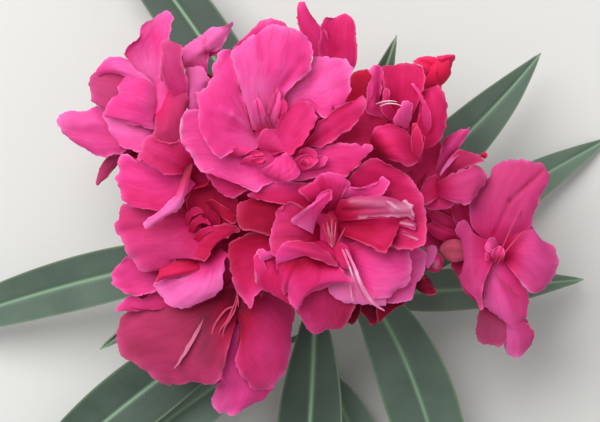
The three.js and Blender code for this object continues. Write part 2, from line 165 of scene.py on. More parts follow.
# Large open flower at the top of the head
HEAD_PETALS = (
    Petal("262,180 252,190 264,193 285,189 300,187 320,183 346,181 364,168 352,156 330,148 300,150 "
          "275,165", (77, 78, 77.5), tone=(1.21, 1.23), red=0.1, wave=0.4, under=False),
    Petal("248,160 249,128 262,120 282,122 292,140 284,158 268,168", (80, 80.5, 80),
          tone=(0.7, 0.85), red=0.1, wave=0.3, under=False),
    Petal("292,132 304,110 331,103 352,104 356,122 332,140 306,148", (80, 81, 81), tone=(0.6, 0.62),
          red=0.2, wave=0.3, under=False),
    Petal("264,160 225,150 206,173 211,182 217,190 223,195 231,198 240,195 250,188 268,172",
          (79, 79, 77), tone=(0.4, 0.5), across=0.1),
    Petal("256,140 226,122 197,109 191,109 184,113 181,120 180,138 183,147 191,155 194,161 199,170 "
          "205,173 208,170 215,169 223,174 231,180 242,186 250,189 257,192 262,187 275,180 270,164",
          (79, 84.5, 83), cup=1.5, tone=(0.82, 0.75), across=-0.02, mauve=0.1,
          folds=((214, 166, 250, 178, 0, 9, 0.05), (205, 160, 250, 172, -0.5, 6, -0.05)),
          streaks=((181, 116, 180, 140, 1.6, 0.5),)),
    Petal("258,135 240,90 231,60 233,49 242,40 250,32 257,24 263,20 273,18 278,19 284,23 288,27 "
          "294,48 285,100 275,135", (81, 88, 89), tone=(0.72, 0.66), mauve=0.05),
    Petal("272,122 278,100 288,88 309,70 313,57 324,57 331,58 340,57 346,59 350,64 353,69 351,75 "
          "350,84 351,90 347,98 344,105 338,108 331,109 331,113 327,117 321,117 315,110 311,105 "
          "304,103 296,108 284,128", (82, 89, 89.5), tone=(1, 0.82), across=-0.2,
          folds=((296, 102, 340, 74, 0.5, 7, 0.04), (300, 100, 318, 70, -0.5, 5, -0.05))),
    Petal("284,180 300,181 318,177 333,175 345,178 351,173 360,163 366,156 372,151 373,147 369,144 "
          "365,143 361,146 357,143 351,144 337,143 325,146 300,152 286,158", (79, 85, 86.5),
          tone=(0.9, 0.58), across=0.06, folds=((326, 158, 362, 150, 0.5, 5, 0.06),)),
    Petal("290,150 301,144 311,136 315,129 320,120 325,118 333,110 345,104 357,99 364,96 366,101 "
          "365,109 359,119 352,128 341,134 333,141 326,145 321,148 311,147 292,158", (81, 88, 90.5),
          tilt=-2, tone=(0.74, 0.5), red=0.15,
          folds=((304, 146, 328, 132, -0.4, 3, -0.12), (318, 130, 362, 104, 0.5, 4, 0.06))),
    Petal("252,132 247,112 242,94 238,78 235,62 234,51 225,50 218,52 218,59 214,62 213,71 211,80 "
          "207,85 201,90 197,92 198,105 199,121 204,139 210,148 215,155 221,158 226,156 232,152 "
          "238,149 256,149 262,140", (81, 90, 91), cup=1.2, tone=(0.92, 0.71), across=-0.06,
          folds=((221, 109, 233, 115, 0.5, 3, 0.04), (233, 115, 258, 131, 0.6, 3, 0.06),
                 (212, 114, 256, 136, -0.3, 3, -0.05))),
    Petal("268,150 283,112 292,104 300,101 311,106 317,117 312,130 306,139 295,151 291,155 283,152 "
          "272,156", (81, 91, 91), cup=0.8, tone=(0.72, 0.58), red=0.15, rim=0.4,
          folds=((290, 140, 300, 112, 0.4, 5, 0.04),)),
    Petal("252,130 248,112 242,95 238,80 234,65 231,53 239,45 248,38 254,35 257,36 259,33 262,29 "
          "274,24 286,27 294,28 300,31 306,36 311,43 313,57 311,65 309,72 301,79 292,86 286,94 "
          "283,102 283,112 279,130", (82, 93, 94), cup=-1.8, tone=(1.04, 0.77), across=-0.1,
          wave=0.8,
          folds=((257, 34, 262, 60, -0.5, 2.5, -0.08), (303, 60, 283, 86, -0.6, 4, -0.08),
                 (300, 70, 288, 92, 0.6, 5, 0.04), (248, 60, 264, 104, 0.5, 10, 0.05),
                 (286, 34, 279, 68, 0.5, 6, 0.03))),
    Petal("257,131 252,114 254,102 258,98 262,104 265,112 267,128", (83, 90.6, 92.6), cup=0.2,
          tone=(1.18, 0.9), red=0.1, rim=0.15, wave=0.4, under=False, step=1,
          folds=((257, 100, 262, 128, -0.3, 0.9, -0.3), (262, 108, 266, 126, -0.2, 0.7, -0.2))),
    Petal("266,131 268,112 272,98 277,89 281,96 281,106 278,116 277,132", (83, 90.6, 92.6), cup=0.2,
          tone=(1, 0.9), red=0.1, rim=0.15, wave=0.4, under=False, step=1,
          folds=((278, 91, 270, 116, -0.3, 0.9, -0.3), (281, 98, 276, 124, -0.2, 0.7, -0.2))),
    Petal("276,132 279,114 283,99 287,104 286,118 283,134", (83, 91, 94), tone=(0.56, 0.62),
          red=0.15, rim=0.15, wave=0.3, under=False),
    Petal("259,149 258,140 262,131 271,129 280,131 290,131 297,138 297,148 287,152 275,152",
          (83, 87.5, 89), cup=0.6, tone=(0.74, 0.76), red=0.25, rim=0.5, wave=0.5, under=False),
    Petal("240,164 244,158 252,155 260,155 268,161 262,166 252,165", (84, 88, 88),
          tone=(0.62, 0.66), red=0.2, rim=0.7, wave=0.3, step=1.2),
    Petal("231,156 229,151 236,147 245,146 252,149 246,154 238,157", (86, 89, 88.5),
          tone=(0.5, 0.66), red=0.1, rim=0.7, wave=0.5, step=1.2),
    Petal("292,168 296,159 303,155 312,156 318,160 312,167 302,171", (84, 87.5, 88), cup=1.5,
          tone=(0.7, 0.7), red=0.2, rim=0.7, wave=0.4, step=1),
    Petal("266,177 261,171 272,163 279,156 287,153 292,157 297,165 300,172 297,177 290,181 278,182",
          (85, 89.5, 87.5), cup=-0.6, tone=(0.64, 0.74), red=0.1, rim=0.6, wave=0.4, under=False,
          step=1,
          folds=((280, 157, 268, 173, -0.25, 1.2, -0.06), (283, 157, 279, 180, -0.25, 1.2, -0.06),
                 (286, 157, 291, 179, -0.25, 1.2, -0.06), (288, 158, 297, 172, -0.25, 1.2, -0.06))),
    Petal("298,160 299,152 306,148 314,150 317,157 307,160", (84, 88, 89), cup=0.8,
          tone=(0.48, 0.62), red=0.2, rim=0.7, wave=0.4, step=1),
    Petal("308,168 312,161 320,156 327,157 325,164 316,170", (84, 87.5, 88), cup=0.8,
          tone=(0.8, 0.72), red=0.15, rim=0.7, wave=0.4, step=1),
    Petal("300,165 302,160 307,159 309,163 306,166", (87, 90, 90), cup=0.8, tone=(0.48, 0.66),
          red=0.2, rim=0.7, wave=0.3, step=0.9),
    Petal("246,154 250,151 258,151 263,154 257,156 250,157", (87, 89.5, 90), cup=0.8,
          tone=(0.46, 0.6), red=0.15, rim=0.7, wave=0.3, step=1),
    Petal("250,161 256,158 265,158 263,162 255,164", (87.5, 89.5, 90), cup=0.8, tone=(0.46, 0.6),
          red=0.2, rim=0.7, wave=0.3, step=1),
)

# Flower in front of it, with ragged inner petals, white streaks and a cone of stamens
HEART_PETALS = (
    Petal("345,255 400,246 410,249 417,248 425,251 426,257 425,270 422,278 415,284 414,292 412,298 "
          "403,302 386,303 362,290", (73, 75, 71), tone=(0.9, 0.84), across=0.12),
    Petal("316,230 285,198 271,197 253,198 245,200 239,203 237,208 237,216 238,224 241,229 251,231 "
          "262,234 290,240 316,240", (74, 78, 77), tone=(0.2, 0.24), across=-0.12),
    Petal("318,232 262,232 246,234 238,238 230,243 229,260 234,285 240,297 246,303 251,309 253,302 "
          "256,295 266,287 290,270 322,246", (73, 75, 70), cup=1.5, tone=(0.3, 0.36), across=0.3,
          folds=((238, 250, 250, 296, 0.6, 6, 0), (250, 298, 262, 286, 0, 8, 0.12))),
    Petal("318,256 300,285 294,305 296,312 300,315 303,322 309,330 314,335 319,334 326,330 340,329 "
          "350,318 356,300 346,258", (74, 76, 68), cup=-2, tone=(0.5, 0.46), across=-0.24,
          mauve=0.1, folds=((304, 322, 334, 326, 0, 8, 0.08),)),
    Petal("338,256 330,276 328,290 334,297 342,302 350,304 358,303 366,305 374,304 381,306 386,305 "
          "384,292 372,276 354,256", (75, 79, 76.5), tone=(1, 1), pale=0.1),
    Petal("338,212 346,188 349,178 355,170 362,164 372,158 380,160 392,167 410,177 417,187 423,196 "
          "424,203 426,215 426,231 425,243 421,246 412,249 401,249 391,246 360,242 344,236",
          (76, 82.5, 84), cup=3, tone=(0.4, 0.44),
          folds=((360, 196, 404, 180, -0.5, 6, -0.04), (372, 168, 412, 188, 0.6, 6, 0.04))),
    Petal("342,246 364,240 385,247 401,249 409,251 411,259 411,272 409,282 405,286 399,289 393,293 "
          "386,298 379,298 374,299 367,294 357,276", (77, 81, 79), cup=-1.5, tone=(0.6, 0.78),
          across=0.2, mauve=0.1, folds=((364, 246, 406, 268, -0.5, 5, -0.04),)),
    Petal("316,240 314,222 320,206 332,196 346,200 356,214 360,232 358,250 342,260 326,250",
          (76.5, 77, 77), tone=(0.64, 0.58), red=0.1, wave=0.3, under=False),
    Petal("328,214 300,207 275,203 256,199 247,196 256,190 266,184 276,181 290,181 305,183 320,188 "
          "334,200", (77, 81.5, 82), tone=(0.36, 0.58), across=0.34, red=0.1, wave=0.5, under=False,
          folds=((262, 186, 296, 184, 0.3, 4, 0.08),)),
    Petal("326,210 306,198 299,192 300,188 309,184 319,176 326,172 333,173 341,175 347,178 350,184 "
          "345,192 338,210", (78, 86, 87), cup=-1.5, tone=(0.48, 0.52), across=0.16, wave=0.8,
          folds=((304, 184, 326, 175, 0.3, 4, 0.1), (326, 175, 346, 181, 0.3, 4, 0.08),
                 (322, 178, 328, 204, -0.7, 3, -0.1))),
    Petal("340,206 343,196 349,187 357,189 365,186 374,187 378,181 382,176 386,178 389,182 387,190 "
          "382,195 372,198 351,204", (80, 86.5, 88), tone=(0.8, 0.72), across=-0.1, wave=0.8),
    Petal("336,222 350,219 371,217 387,216 402,216 412,217 403,222 397,230 395,237 390,246 385,253 "
          "382,253 375,249 364,244 350,238 338,234", (78, 85, 85.5), cup=2.5, tone=(0.3, 0.33),
          across=-0.14,
          folds=((346, 224, 372, 228, -0.4, 6, -0.08), (376, 244, 394, 234, 0.4, 6, 0.08))),
    Petal("334,214 340,200 346,199 355,196.5 366,196 376,196 385,200 391,204 397,207 400,203.5 "
          "404,200 408,201.5 410,204 413,205.5 412,210 415,214 412.5,220 408,217 398,217.5 "
          "387,216.5 371,218.5 355,220 341,221", (81, 88, 87.5), cup=-1.5, tone=(0.26, 0.5),
          mauve=0.35, rim=0.7, wave=0.6, under=False, step=1,
          folds=((344, 210, 384, 209, -0.6, 2.2, -0.12), (350, 203, 372, 201, 0.4, 2.5, 0.06),
                 (388, 202, 397, 210, 0.5, 1.2, 0.05)),
          streaks=((352, 201, 384, 204, 3.4, 0.15), (393, 208, 410, 207, 4.2, 0.28),
                   (388, 202, 396, 208, 1.1, 0.6), (391, 202.5, 399, 209, 0.9, 0.5),
                   (404, 201, 411, 206, 1.2, 0.6), (410, 207, 413.5, 215, 1.3, 0.6),
                   (360, 217.5, 409, 215.5, 1.8, 0.3))),
    Petal("391,222 399,219 408,219 416,224 415,230 408,228 399,226", (84, 86, 85), tone=(0.4, 0.5),
          mauve=0.3, wave=0.3, step=1, streaks=((396, 222, 413, 225, 1, 0.45),)),
    Petal("398,234 405,231 412,235 419,236 418,241 408,240", (83, 85, 84), tone=(0.36, 0.48),
          mauve=0.3, wave=0.3, step=1, streaks=((402, 234, 417, 239, 0.8, 0.4),)),
    Petal("320,226 306,211 297,204 291,202 284,205 282,211 277,212 276,218 273,224 271,230 272,233 "
          "270,238 270,247 276,257 298,250 320,240", (77, 84.5, 84.5), cup=2, tone=(0.26, 0.5),
          mauve=0.1,
          folds=((284, 216, 300, 232, 0.5, 4, 0.04), (278, 238, 304, 240, -0.5, 4, -0.06))),
    Petal("313,234 300,227 291,221 297,215 307,208 315,200 318,196 326,191 332,190 332,197 326,205 "
          "320,213 316,222", (81, 87, 89), cup=1, tilt=2.5, tone=(1.02, 0.74), across=-0.35,
          red=0.15, wave=0.6, under=False, folds=((294, 220, 327, 194, 0.8, 2, 0.13),)),
    Petal("262,262 256,252 260,249 268,252 275,250 272,258", (80, 81.5, 81), tone=(0.86, 0.84),
          wave=0.8),
    Petal("278,258 268,255 262,258 257,264 254,272 256,282 262,289 272,294 284,301 296,308 291,297 "
          "285,284 281,270", (77, 79.5, 76.5), cup=-1, tone=(0.55, 0.46), wave=0.5, under=False,
          streaks=((255, 266, 256, 282, 1.2, 0.3),)),
    Petal("262,284 255,271 253,262 255,255 260,252 262,258 266,266 269,278", (78.5, 80, 79.5),
          tone=(0.5, 0.58), wave=0.6, under=False),
    Petal("322,240 306,243 291,241 283,243 280,248 276,256 276,265 279,275 281,282 282,290 284,295 "
          "287,291 288,298 292,306 297,310 302,302 305,298 312,293 322,289 331,284 342,283 353,282 "
          "347,275 338,264 336,246", (79, 86.5, 80), cup=-1.5, tone=(0.47, 0.56), across=0.18,
          folds=((292, 264, 334, 262, -0.6, 9, -0.24), (288, 286, 300, 300, 0.4, 8, 0.08),
                 (300, 266, 302, 292, -0.4, 4, -0.05))),
    Petal("276,264 276,255 280,247 284,243 291,241 302,241 312,243 320,247 328,252 334,260 338,266 "
          "330,265 322,261 312,258 303,256 293,259 285,262", (85, 89.5, 86), cup=-1,
          tone=(0.8, 0.42), mauve=0.08, wave=0.5, under=False,
          folds=((283, 246, 330, 256, 0.5, 3, 0.05),)),
    Petal("332,244 340,242 347,246 352,258 350,268 343,268 338,262 334,253", (82, 82.6, 81.4),
          tone=(0.4, 0.6), rim=0.2, wave=0.3),
    Petal("341.5,249 342.5,249.5 349.5,264 356,281 365,299 361,294.5 354,281 347.5,265.5",
          (83.4, 84, 80), tone=(0.8, 0.9), pale=0.3, wave=0.2, rib=0.3, under=False, step=0.9,
          streaks=((350, 268, 362, 294, 1.6, 0.8),)),
    Petal("345,249 346,249.5 355.5,266 362.5,283 372,299 385,311 371,303 360,285 353,268",
          (83.4, 84, 79), tone=(0.88, 0.95), pale=0.3, wave=0.2, rib=0.3, under=False, step=0.9,
          streaks=((356, 272, 371, 300, 2, 0.8),)),
    Petal("349,284 351,284 352.5,291 355,299 353,302 350,294", (80.5, 81, 79.5), tone=(0.8, 0.9),
          pale=0.35, wave=0.2, rib=0.3, step=0.9),
    Petal("333,248 328,243 324.5,234 323.5,225 326,216 331,212 336,216 337.5,226 337,236 335,244",
          (82, 83.5, 82.5), cup=-1.2, tone=(0.64, 0.2), mauve=0.08, red=0.12, rim=0, wave=0.2,
          under=False, step=1,
          folds=((329, 218, 331, 240, -0.5, 1.2, -0.12), (334, 220, 333, 240, 0.3, 1, 0.12)),
          streaks=((331.5, 234, 332, 246, 1.5, 0.45), (328, 227, 329, 237, 1, 0.25))),
    Petal("428,269 425,262 426,251 428,247 435,245 437,251 434,261", (66, 67, 66), tone=(1, 1),
          wave=0.3),
    # painted shade: these four low petals are given very dark tones
    Petal("414,287 418,279 423,278 428,284 434,288 437,292 434,295 427,295 420,292", (66, 68, 66),
          tone=(0.04, 0.1), wave=0.3),
    Petal("350,298 343,312 346,321 351,325 356,321 361,312 360,298", (67, 67, 65),
          tone=(0.02, 0.06), wave=0.3),
    Petal("362,298 360,310 366,317 371,325 376,323 379,312 378,298", (67, 66.5, 65),
          tone=(0.05, 0.08), wave=0.3),
    Petal("378,297 376,310 379,323 386,316 396,308 405,303 402,296", (67, 67, 65),
          tone=(0.08, 0.14), wave=0.3, under=False),
)

# Flower at the left, upper
LEFT_HIGH_PETALS = (
    Petal("172,146 182,138 194,144 204,160 214,178 216,188 204,192 190,184 178,166", (68, 69, 68),
          tone=(0.55, 0.5), red=0.05, wave=0.3, under=False),
    Petal("190,178 177,172 158,169 150,165 142,160 135,160 130,155 125,154 121,155 119,159 118,167 "
          "119,171 116,177 117,182 120,192 122,200 128,205 136,208 148,209 160,211 172,207 184,197 "
          "196,184", (74, 79.5, 77), cup=1.5, tone=(0.74, 0.64), across=-0.2,
          folds=((132, 166, 172, 184, -0.5, 5, -0.03), (128, 194, 150, 202, 0.4, 6, -0.06))),
    Petal("193,172 180,174 165,174 158,170 150,165 143,160 138,161 138,156 141,151 142,144 146,138 "
          "152,134 157,141 168,143 176,143 181,142 186,151 192,160 196,166", (76, 83, 82), cup=1.5,
          tone=(0.34, 0.5), across=-0.05, mauve=0.1,
          folds=((150, 146, 184, 166, 0.5, 5, 0.04), (158, 160, 184, 170, -0.5, 4, -0.05))),
    Petal("187,164 182,178 177,193 172,199 165,205 156,213 147,219 144,222 144,226 146,229 150,227 "
          "155,224 161,220 170,214 179,210 182,207 185,198 187,190 190,177 193,163", (78, 85, 80),
          cup=-1.5, tilt=-1.5, tone=(0.1, 1), across=0.3, mauve=0.08, pale=0.04, wave=0.6,
          under=False, folds=((187, 172, 182, 198, 0.4, 3, 0.06),)),
)

# Flower at the left, lower
LEFT_LOW_PETALS = (
    Petal("200,240 214,232 236,238 240,256 238,276 240,300 228,312 218,300 214,270", (57, 58, 56),
          tone=(0.65, 0.62), wave=0.4, under=False),
    Petal("186,190 180,200 182,212 190,222 204,230 226,244 248,246 258,236 260,222 256,208 254,194 "
          "246,186 228,184 206,182", (58, 59, 58), tone=(0.32, 0.36), wave=0.4, under=False),
    Petal("204,254 190,272 165,292 154,291 148,295 141,299 134,295 125,299 119,304 116,308 115,311 "
          "120,312 126,311 134,310 145,310 160,309 184,304 212,262", (60, 60, 57),
          tone=(0.41, 0.57), across=-0.2, mauve=0.1),
    Petal("198,236 170,262 155,258 128,257 121,262 114,270 111,277 113,280 111,284 118,288 128,294 "
          "138,296 150,293 160,289 170,284 206,246", (64, 64, 60), cup=1.5, tone=(0.28, 0.66),
          across=-0.1, mauve=0.08, folds=((122, 268, 156, 276, 0.5, 5, 0.03),)),
    Petal("200,226 186,206 192,190 208,184 226,188 238,202 240,216 232,226 212,230", (67, 70, 69),
          tone=(0.38, 0.32), red=0.05),
    Petal("196,214 165,204 140,205 122,204 121,207 118,219 115,228 116,233 121,238 125,248 127,254 "
          "131,258 134,262 139,269 145,272 156,271 161,265 175,263 178,257 187,256 197,258 205,261 "
          "206,255 210,248 214,238 204,230", (69, 73.5, 69), cup=-1.5, tone=(0.46, 0.55),
          across=0.05, mauve=0.15,
          folds=((124, 230, 186, 226, -0.5, 4, -0.05), (134, 246, 196, 244, 0.5, 8, 0.02))),
    Petal("206,244 192,268 184,275 172,275 161,278 153,285 157,291 163,299 173,307 188,308 197,304 "
          "207,299 212,298 218,293 223,288 223,277 224,267 225,258 228,254 222,250 214,244",
          (66, 70.5, 65), cup=-1, tone=(0.26, 0.98), across=0.05,
          folds=((176, 292, 216, 272, -0.5, 6, -0.02), (158, 284, 176, 281, 0.3, 3, -0.1))),
    Petal("205,262 200,261 188,258 173,262 161,266 158,274 156,282 165,279 185,275 201,269 210,262",
          (68, 71.5, 70), cup=-1, tone=(0.22, 0.36), red=0.3, wave=0.5, under=False, step=1.2,
          folds=((162, 276, 198, 268, 0.6, 2.5, 0.1),)),
    Petal("196,236 203,230 216,225 230,224 241,229 236,233 226,238 217,243 211,251 205,261 195,259 "
          "186,256 190,246", (70, 74, 73), tone=(0.4, 0.34), red=0.15,
          folds=((203, 240, 214, 232, 0.6, 5, 0),)),
    # painted shade: a dark petal behind the crests for the shaded hollow of the throat
    Petal("205,202 211,199 222,205 232,212 237,220 234,224 226,220 216,212", (73, 75.5, 74),
          tone=(0.12, 0.22), red=0.1, wave=0.3, under=False),
    Petal("185,223 187,213 194,207.5 200,208.5 204,214 198,213 192,216 189,225", (73.4, 74.6, 74),
          tone=(0.28, 0.42), rim=0.5, step=1.2),
    Petal("188,231 192,221 199,216 206,218 210,225 203,222.5 197,225 193,233", (73.4, 74.6, 74),
          tone=(0.22, 0.38), rim=0.5, step=1.2),
    Petal("193,239 199,231 208,226 216,226 221,231 213,231.5 205,235 199,242", (73.4, 74.6, 74),
          tone=(0.26, 0.4), rim=0.5, step=1.2),
)

# Flower at the front left, seen into its throat
FRONT_LEFT_PETALS = (
    Petal("226,300 212,330 214,352 222,372 236,366 246,340 248,310", (56, 56, 52), tone=(0.55, 0.7),
          wave=0.4, under=False),
    Petal("228,322 212,352 208,368 220,379 215,390 212,398 211,404 215,410 220,413 225,413 231,416 "
          "237,414 243,410 248,406 256,403 265,399 270,393 273,388 262,360 248,324", (57, 53, 45),
          cup=-1.5, tone=(0.7, 0.74), across=-0.2, mauve=0.1,
          folds=((240, 350, 236, 408, -0.4, 4, -0.03),)),
    Petal("238,288 200,290 160,300 134,310 128,311 122,316 119,325 117,333 117,343 119,352 125,359 "
          "134,363 141,369 149,374 156,380 161,383 166,385 173,385 182,384 192,382 204,384 217,383 "
          "222,374 228,350 240,306", (60, 60, 50), cup=-1.5, tone=(0.13, 0.32), across=0.08,
          mauve=0.26,
          folds=((126, 330, 150, 316, 0.5, 10, 0.06), (134, 352, 200, 334, -0.4, 7, -0.03),
                 (205, 320, 205, 360, 0, 12, -0.14), (150, 372, 200, 378, 0, 9, 0.04))),
    Petal("196,378 193,371 199,368 206,370 211,372 215,377 222,382 212,384 202,384", (53, 55, 53),
          tone=(0.35, 0.5), mauve=0.25, wave=0.3),
    Petal("230,300 240,288 256,290 270,288 284,296 294,308 294,320 291,335 291,351 288,364 286,371 "
          "279,380 275,385 270,389 262,390 253,389 247,383 242,376 237,370 235,361 237,354 240,341 "
          "240,325 234,310", (61, 61, 52), cup=-2, tone=(0.04, 0.52), mauve=0.1,
          folds=((244, 300, 286, 304, 0, 12, -0.06), (262, 350, 266, 382, 0.5, 8, 0.06),
                 (240, 330, 244, 366, -0.3, 4, -0.08))),
    Petal("204,318 198,327 192,337 186,347 180,358 174,369 180,362 187,352 194,341 200,330",
          (61.5, 61, 58), tone=(0.26, 0.4), mauve=0.35, pale=0.22, wave=0.1, rib=0.2, under=False,
          step=1),
)

# Flower at the far left
FAR_LEFT_PETALS = (
    Petal("150,140 132,146 120,154 126,164 140,168 160,166 180,150 186,120 170,120", (47, 48, 47),
          tone=(0.14, 0.2), wave=0.3, under=False),
    Petal("146,126 128,142 120,153 107,157 101,167 97,175 95,182 96,186 99,185 103,181 109,175 "
          "114,166 119,159 134,150 152,132", (53, 50, 44), tone=(0.3, 0.4), mauve=0.3),
    Petal("150,106 120,112 112,113 107,111 101,107 97,105 93,106 88,111 79,111 70,111 62,113 "
          "59,116 57,122 57,125 61,129 64,135 71,140 78,145 85,149 90,152 97,156 105,157 113,155 "
          "120,154 128,149 150,124", (56, 56, 51), cup=-1, tone=(0.63, 0.77), across=-0.15,
          mauve=0.2,
          folds=((66, 120, 112, 124, 0.5, 5, 0.02), (72, 132, 118, 138, -0.5, 5, -0.03),
                 (96, 108, 112, 132, -0.5, 3, -0.06))),
    Petal("150,96 122,116 112,114 107,110 100,106 93,104 91,95 89,87 89,81 91,76 96,72 106,72 "
          "115,72 121,73 124,76 130,82 152,86", (55, 60, 58), tone=(0.44, 0.5), mauve=0.35),
    Petal("152,90 136,72 128,60 124,55 128,47 135,42 139,36 142,26 146,22 154,19 160,13 165,10 "
          "169,11 172,15 173,19 171,26 170,35 169,40 164,48 162,62 162,77 163,90", (57, 62, 63),
          cup=2, tone=(1.16, 0.81), across=0.05, mauve=0.05,
          folds=((140, 48, 158, 84, 0.5, 5, 0.04), (156, 28, 160, 74, -0.5, 4, -0.05))),
    Petal("98,76 96,71 101,64 106,59 113,56 121,57 127,59 132,65 136,70 142,73 148,77 146,84 "
          "134,80 122,75 108,73", (60, 63.5, 62), cup=-1.5, tone=(0.8, 0.92), across=0.1, wave=0.6,
          under=False),
    Petal("156,130 148,150 141,151 135,151 128,149 121,147 117,142 114,138 110,132 108,125 105,121 "
          "103,114 127,118 157,120", (57, 60, 57), tone=(1, 0.92), across=0.3),
    Petal("160,102 157,90 152,82 146,77 137,76 127,76 121,81 117,88 118,94 111,98 107,105 103,116 "
          "111,117 127,123 142,127 155,129 156,117", (57, 64, 61), cup=-1.5, tone=(1, 0.72),
          folds=((118, 98, 150, 104, 0.5, 6, 0.02), (126, 84, 150, 92, 0, 8, 0.04))),
    Petal("164,98 168,90 178,89 186,92 188,104 186,114 186,126 184,138 180,146 168,148 157,146 "
          "153,138 155,129 155,117 159,108", (58, 63.5, 61), cup=-1, tone=(0.58, 0.46),
          across=-0.06, mauve=0.2, folds=((170, 96, 166, 130, 0.4, 4, 0.04),)),
    Petal("150,114 149,98 153,84 162,74 171,82 174,100 168,114", (60.5, 61, 61.5),
          tone=(0.82, 0.89), wave=0.4, under=False),
    Petal("164,92 160,76 160,62 163,52 168,60 176,74 184,90 178,94", (58, 63, 64), tone=(0.8, 0.82),
          mauve=0.1, under=False),
    Petal("184,104 172,96 165,84 162,72 163,58 161,41 169,40 175,44 182,45 182,61 185,71 187,78 "
          "188,90 188,104", (60, 67, 68), tone=(0.74, 0.58), mauve=0.25, wave=0.6,
          folds=((166, 46, 184, 90, 0.5, 3, 0.04),)),
)

# Young flower at the back left
BACK_LEFT_PETALS = (
    Petal("196,84 186,68 180,64 183,47 191,42 205,32 213,27 221,27 227,25 233,21 231,28 227,37 "
          "224,43 220,49 214,52 209,54 208,64 206,84", (54, 59, 60), cup=-1.5, tone=(0.82, 1.03),
          across=-0.12, mauve=0.15,
          folds=((188, 60, 226, 30, 0.5, 5, 0.03), (205, 40, 207, 58, -0.8, 1.6, -0.2))),
    Petal("200,132 188,112 184,96 185,87 187,80 186,71 190,67 198,66 203,68 207,75 210,80 206,86 "
          "203,100 206,126", (55, 61, 60), cup=-1.5, tone=(0.62, 1.08), across=-0.14, mauve=0.15,
          folds=((190, 72, 192, 94, 0.5, 3, 0.05),)),
)

# Young flower at the back
BACK_PETALS = (
    Petal("326,76 318,50 321,31 321,24 324,19 331,18 340,16 345,13 349,15 354,21 356,31 356,41 "
          "357,49 357,57 355,67 346,78", (54, 58, 58), cup=2, tone=(0.58, 0.52), across=-0.1,
          folds=((323, 31, 337, 52, -0.5, 3, -0.06), (346, 22, 348, 64, 0.5, 5, 0.03))),
    Petal("318,66 306,44 298,27 297,15 297,7 300,2 305,2 307,8 311,14 316,21 319,25 324,28 330,44 "
          "332,62", (54, 59, 60), cup=-1, tone=(0.62, 0.57),
          folds=((302, 10, 322, 56, 0.5, 4, 0.04),)),
)

# Cupped flower at the right
CUPPED_PETALS = (
    Petal("400,176 384,174 362,168 344,158 324,150 318,140 330,132 352,130 384,138 408,150 414,168",
          (66, 65, 65), tone=(0.62, 0.71), red=0.34, wave=0.3, under=False),
    Petal("408,150 398,146 404,120 404,100 412,98 422,104 424,128 420,148", (66, 66, 67),
          tone=(0.66, 0.74), red=0.34, wave=0.2, under=False),
    Petal("398,124 372,110 352,110 342,104 340,94 345,80 351,74 360,70 372,72 388,90 402,116",
          (68, 67, 66), tone=(0.14, 0.2), red=0.4),
    Petal("392,124 386,104 384,88 383,67 388,66 394,65 399,63 408,64 416,64 423,69 425,75 424,86 "
          "421,93 416,108 408,122", (70, 78, 79), cup=2, tone=(0.52, 0.48), red=0.14,
          folds=((396, 70, 400, 108, -0.5, 5, -0.04),)),
    Petal("396,126 382,118 366,112 367,102 367,92 368,85 372,75 369,71 370,69 373,64 374,65 378,68 "
          "381,66 383,71 383,82 381,92 380,102 392,116", (71, 79, 82), tone=(0.68, 0.72),
          across=0.1, red=0.14,
          folds=((374, 68, 374, 106, 0.6, 3, 0.06), (380, 72, 378, 104, -0.6, 2, -0.08))),
    Petal("396,124 382,112 383,96 386,87 388,89 390,92 389,100 398,118", (72, 80, 82),
          tone=(0.54, 0.65), red=0.14, under=False),
    Petal("412,140 418,116 421,90 427,88 433,88 439,86 443,92 446,99 447,109 446,122 445,132 "
          "441,139 434,146 420,150", (70, 76, 76), cup=-2, tone=(0.36, 0.5), red=0.19,
          folds=((432, 92, 436, 138, 0.5, 5, 0.04),)),
    Petal("398,136 378,112 366,106 350,108 340,120 334,136 342,148 356,151 366,151 380,148 400,146",
          (71, 76, 77), cup=1, tone=(0.44, 0.58), red=0.45),
    Petal("404,128 393,121 397,112 401,108 402,102 409,101 413,104 412,110 411,120 408,128",
          (76, 83, 84), cup=-2, tone=(1, 0.83), across=-0.07, red=0.14, wave=0.5, step=1.2),
    Petal("426,132 423,122 422,105 420,97 416,91 411,84 413,83 418,88 422,94 426,104 430,111 "
          "431,127 428,133", (76, 83, 81), tone=(0.68, 0.64), red=0.14, wave=0.4, under=False,
          step=1.2),
    Petal("420,162 412,124 417,123 421,131 424,138 423,151 422,162", (74, 80, 82),
          tone=(0.34, 0.36), red=0.29, wave=0.5, under=False, step=1.2),
    Petal("372,148 370,140 372,133 376,128 382,125 390,124 398,125 405,130 411,137 414,143 416,150 "
          "418,154 419,160 416,164 408,166 400,163 390,160 379,156", (74, 83, 75), cup=-2.2,
          tone=(0.2, 0.54), red=0.22, wave=0.6,
          folds=((374, 132, 400, 131, 0.6, 4, 0.06), (404, 142, 416, 158, 0, 7, -0.1))),
    Petal("414,160 411,146 412,134 417,126 421,134 423,148 420,160", (74.5, 81, 82.5),
          tone=(0.64, 0.5), red=0.34, wave=0.4, under=False, step=1.2),
)

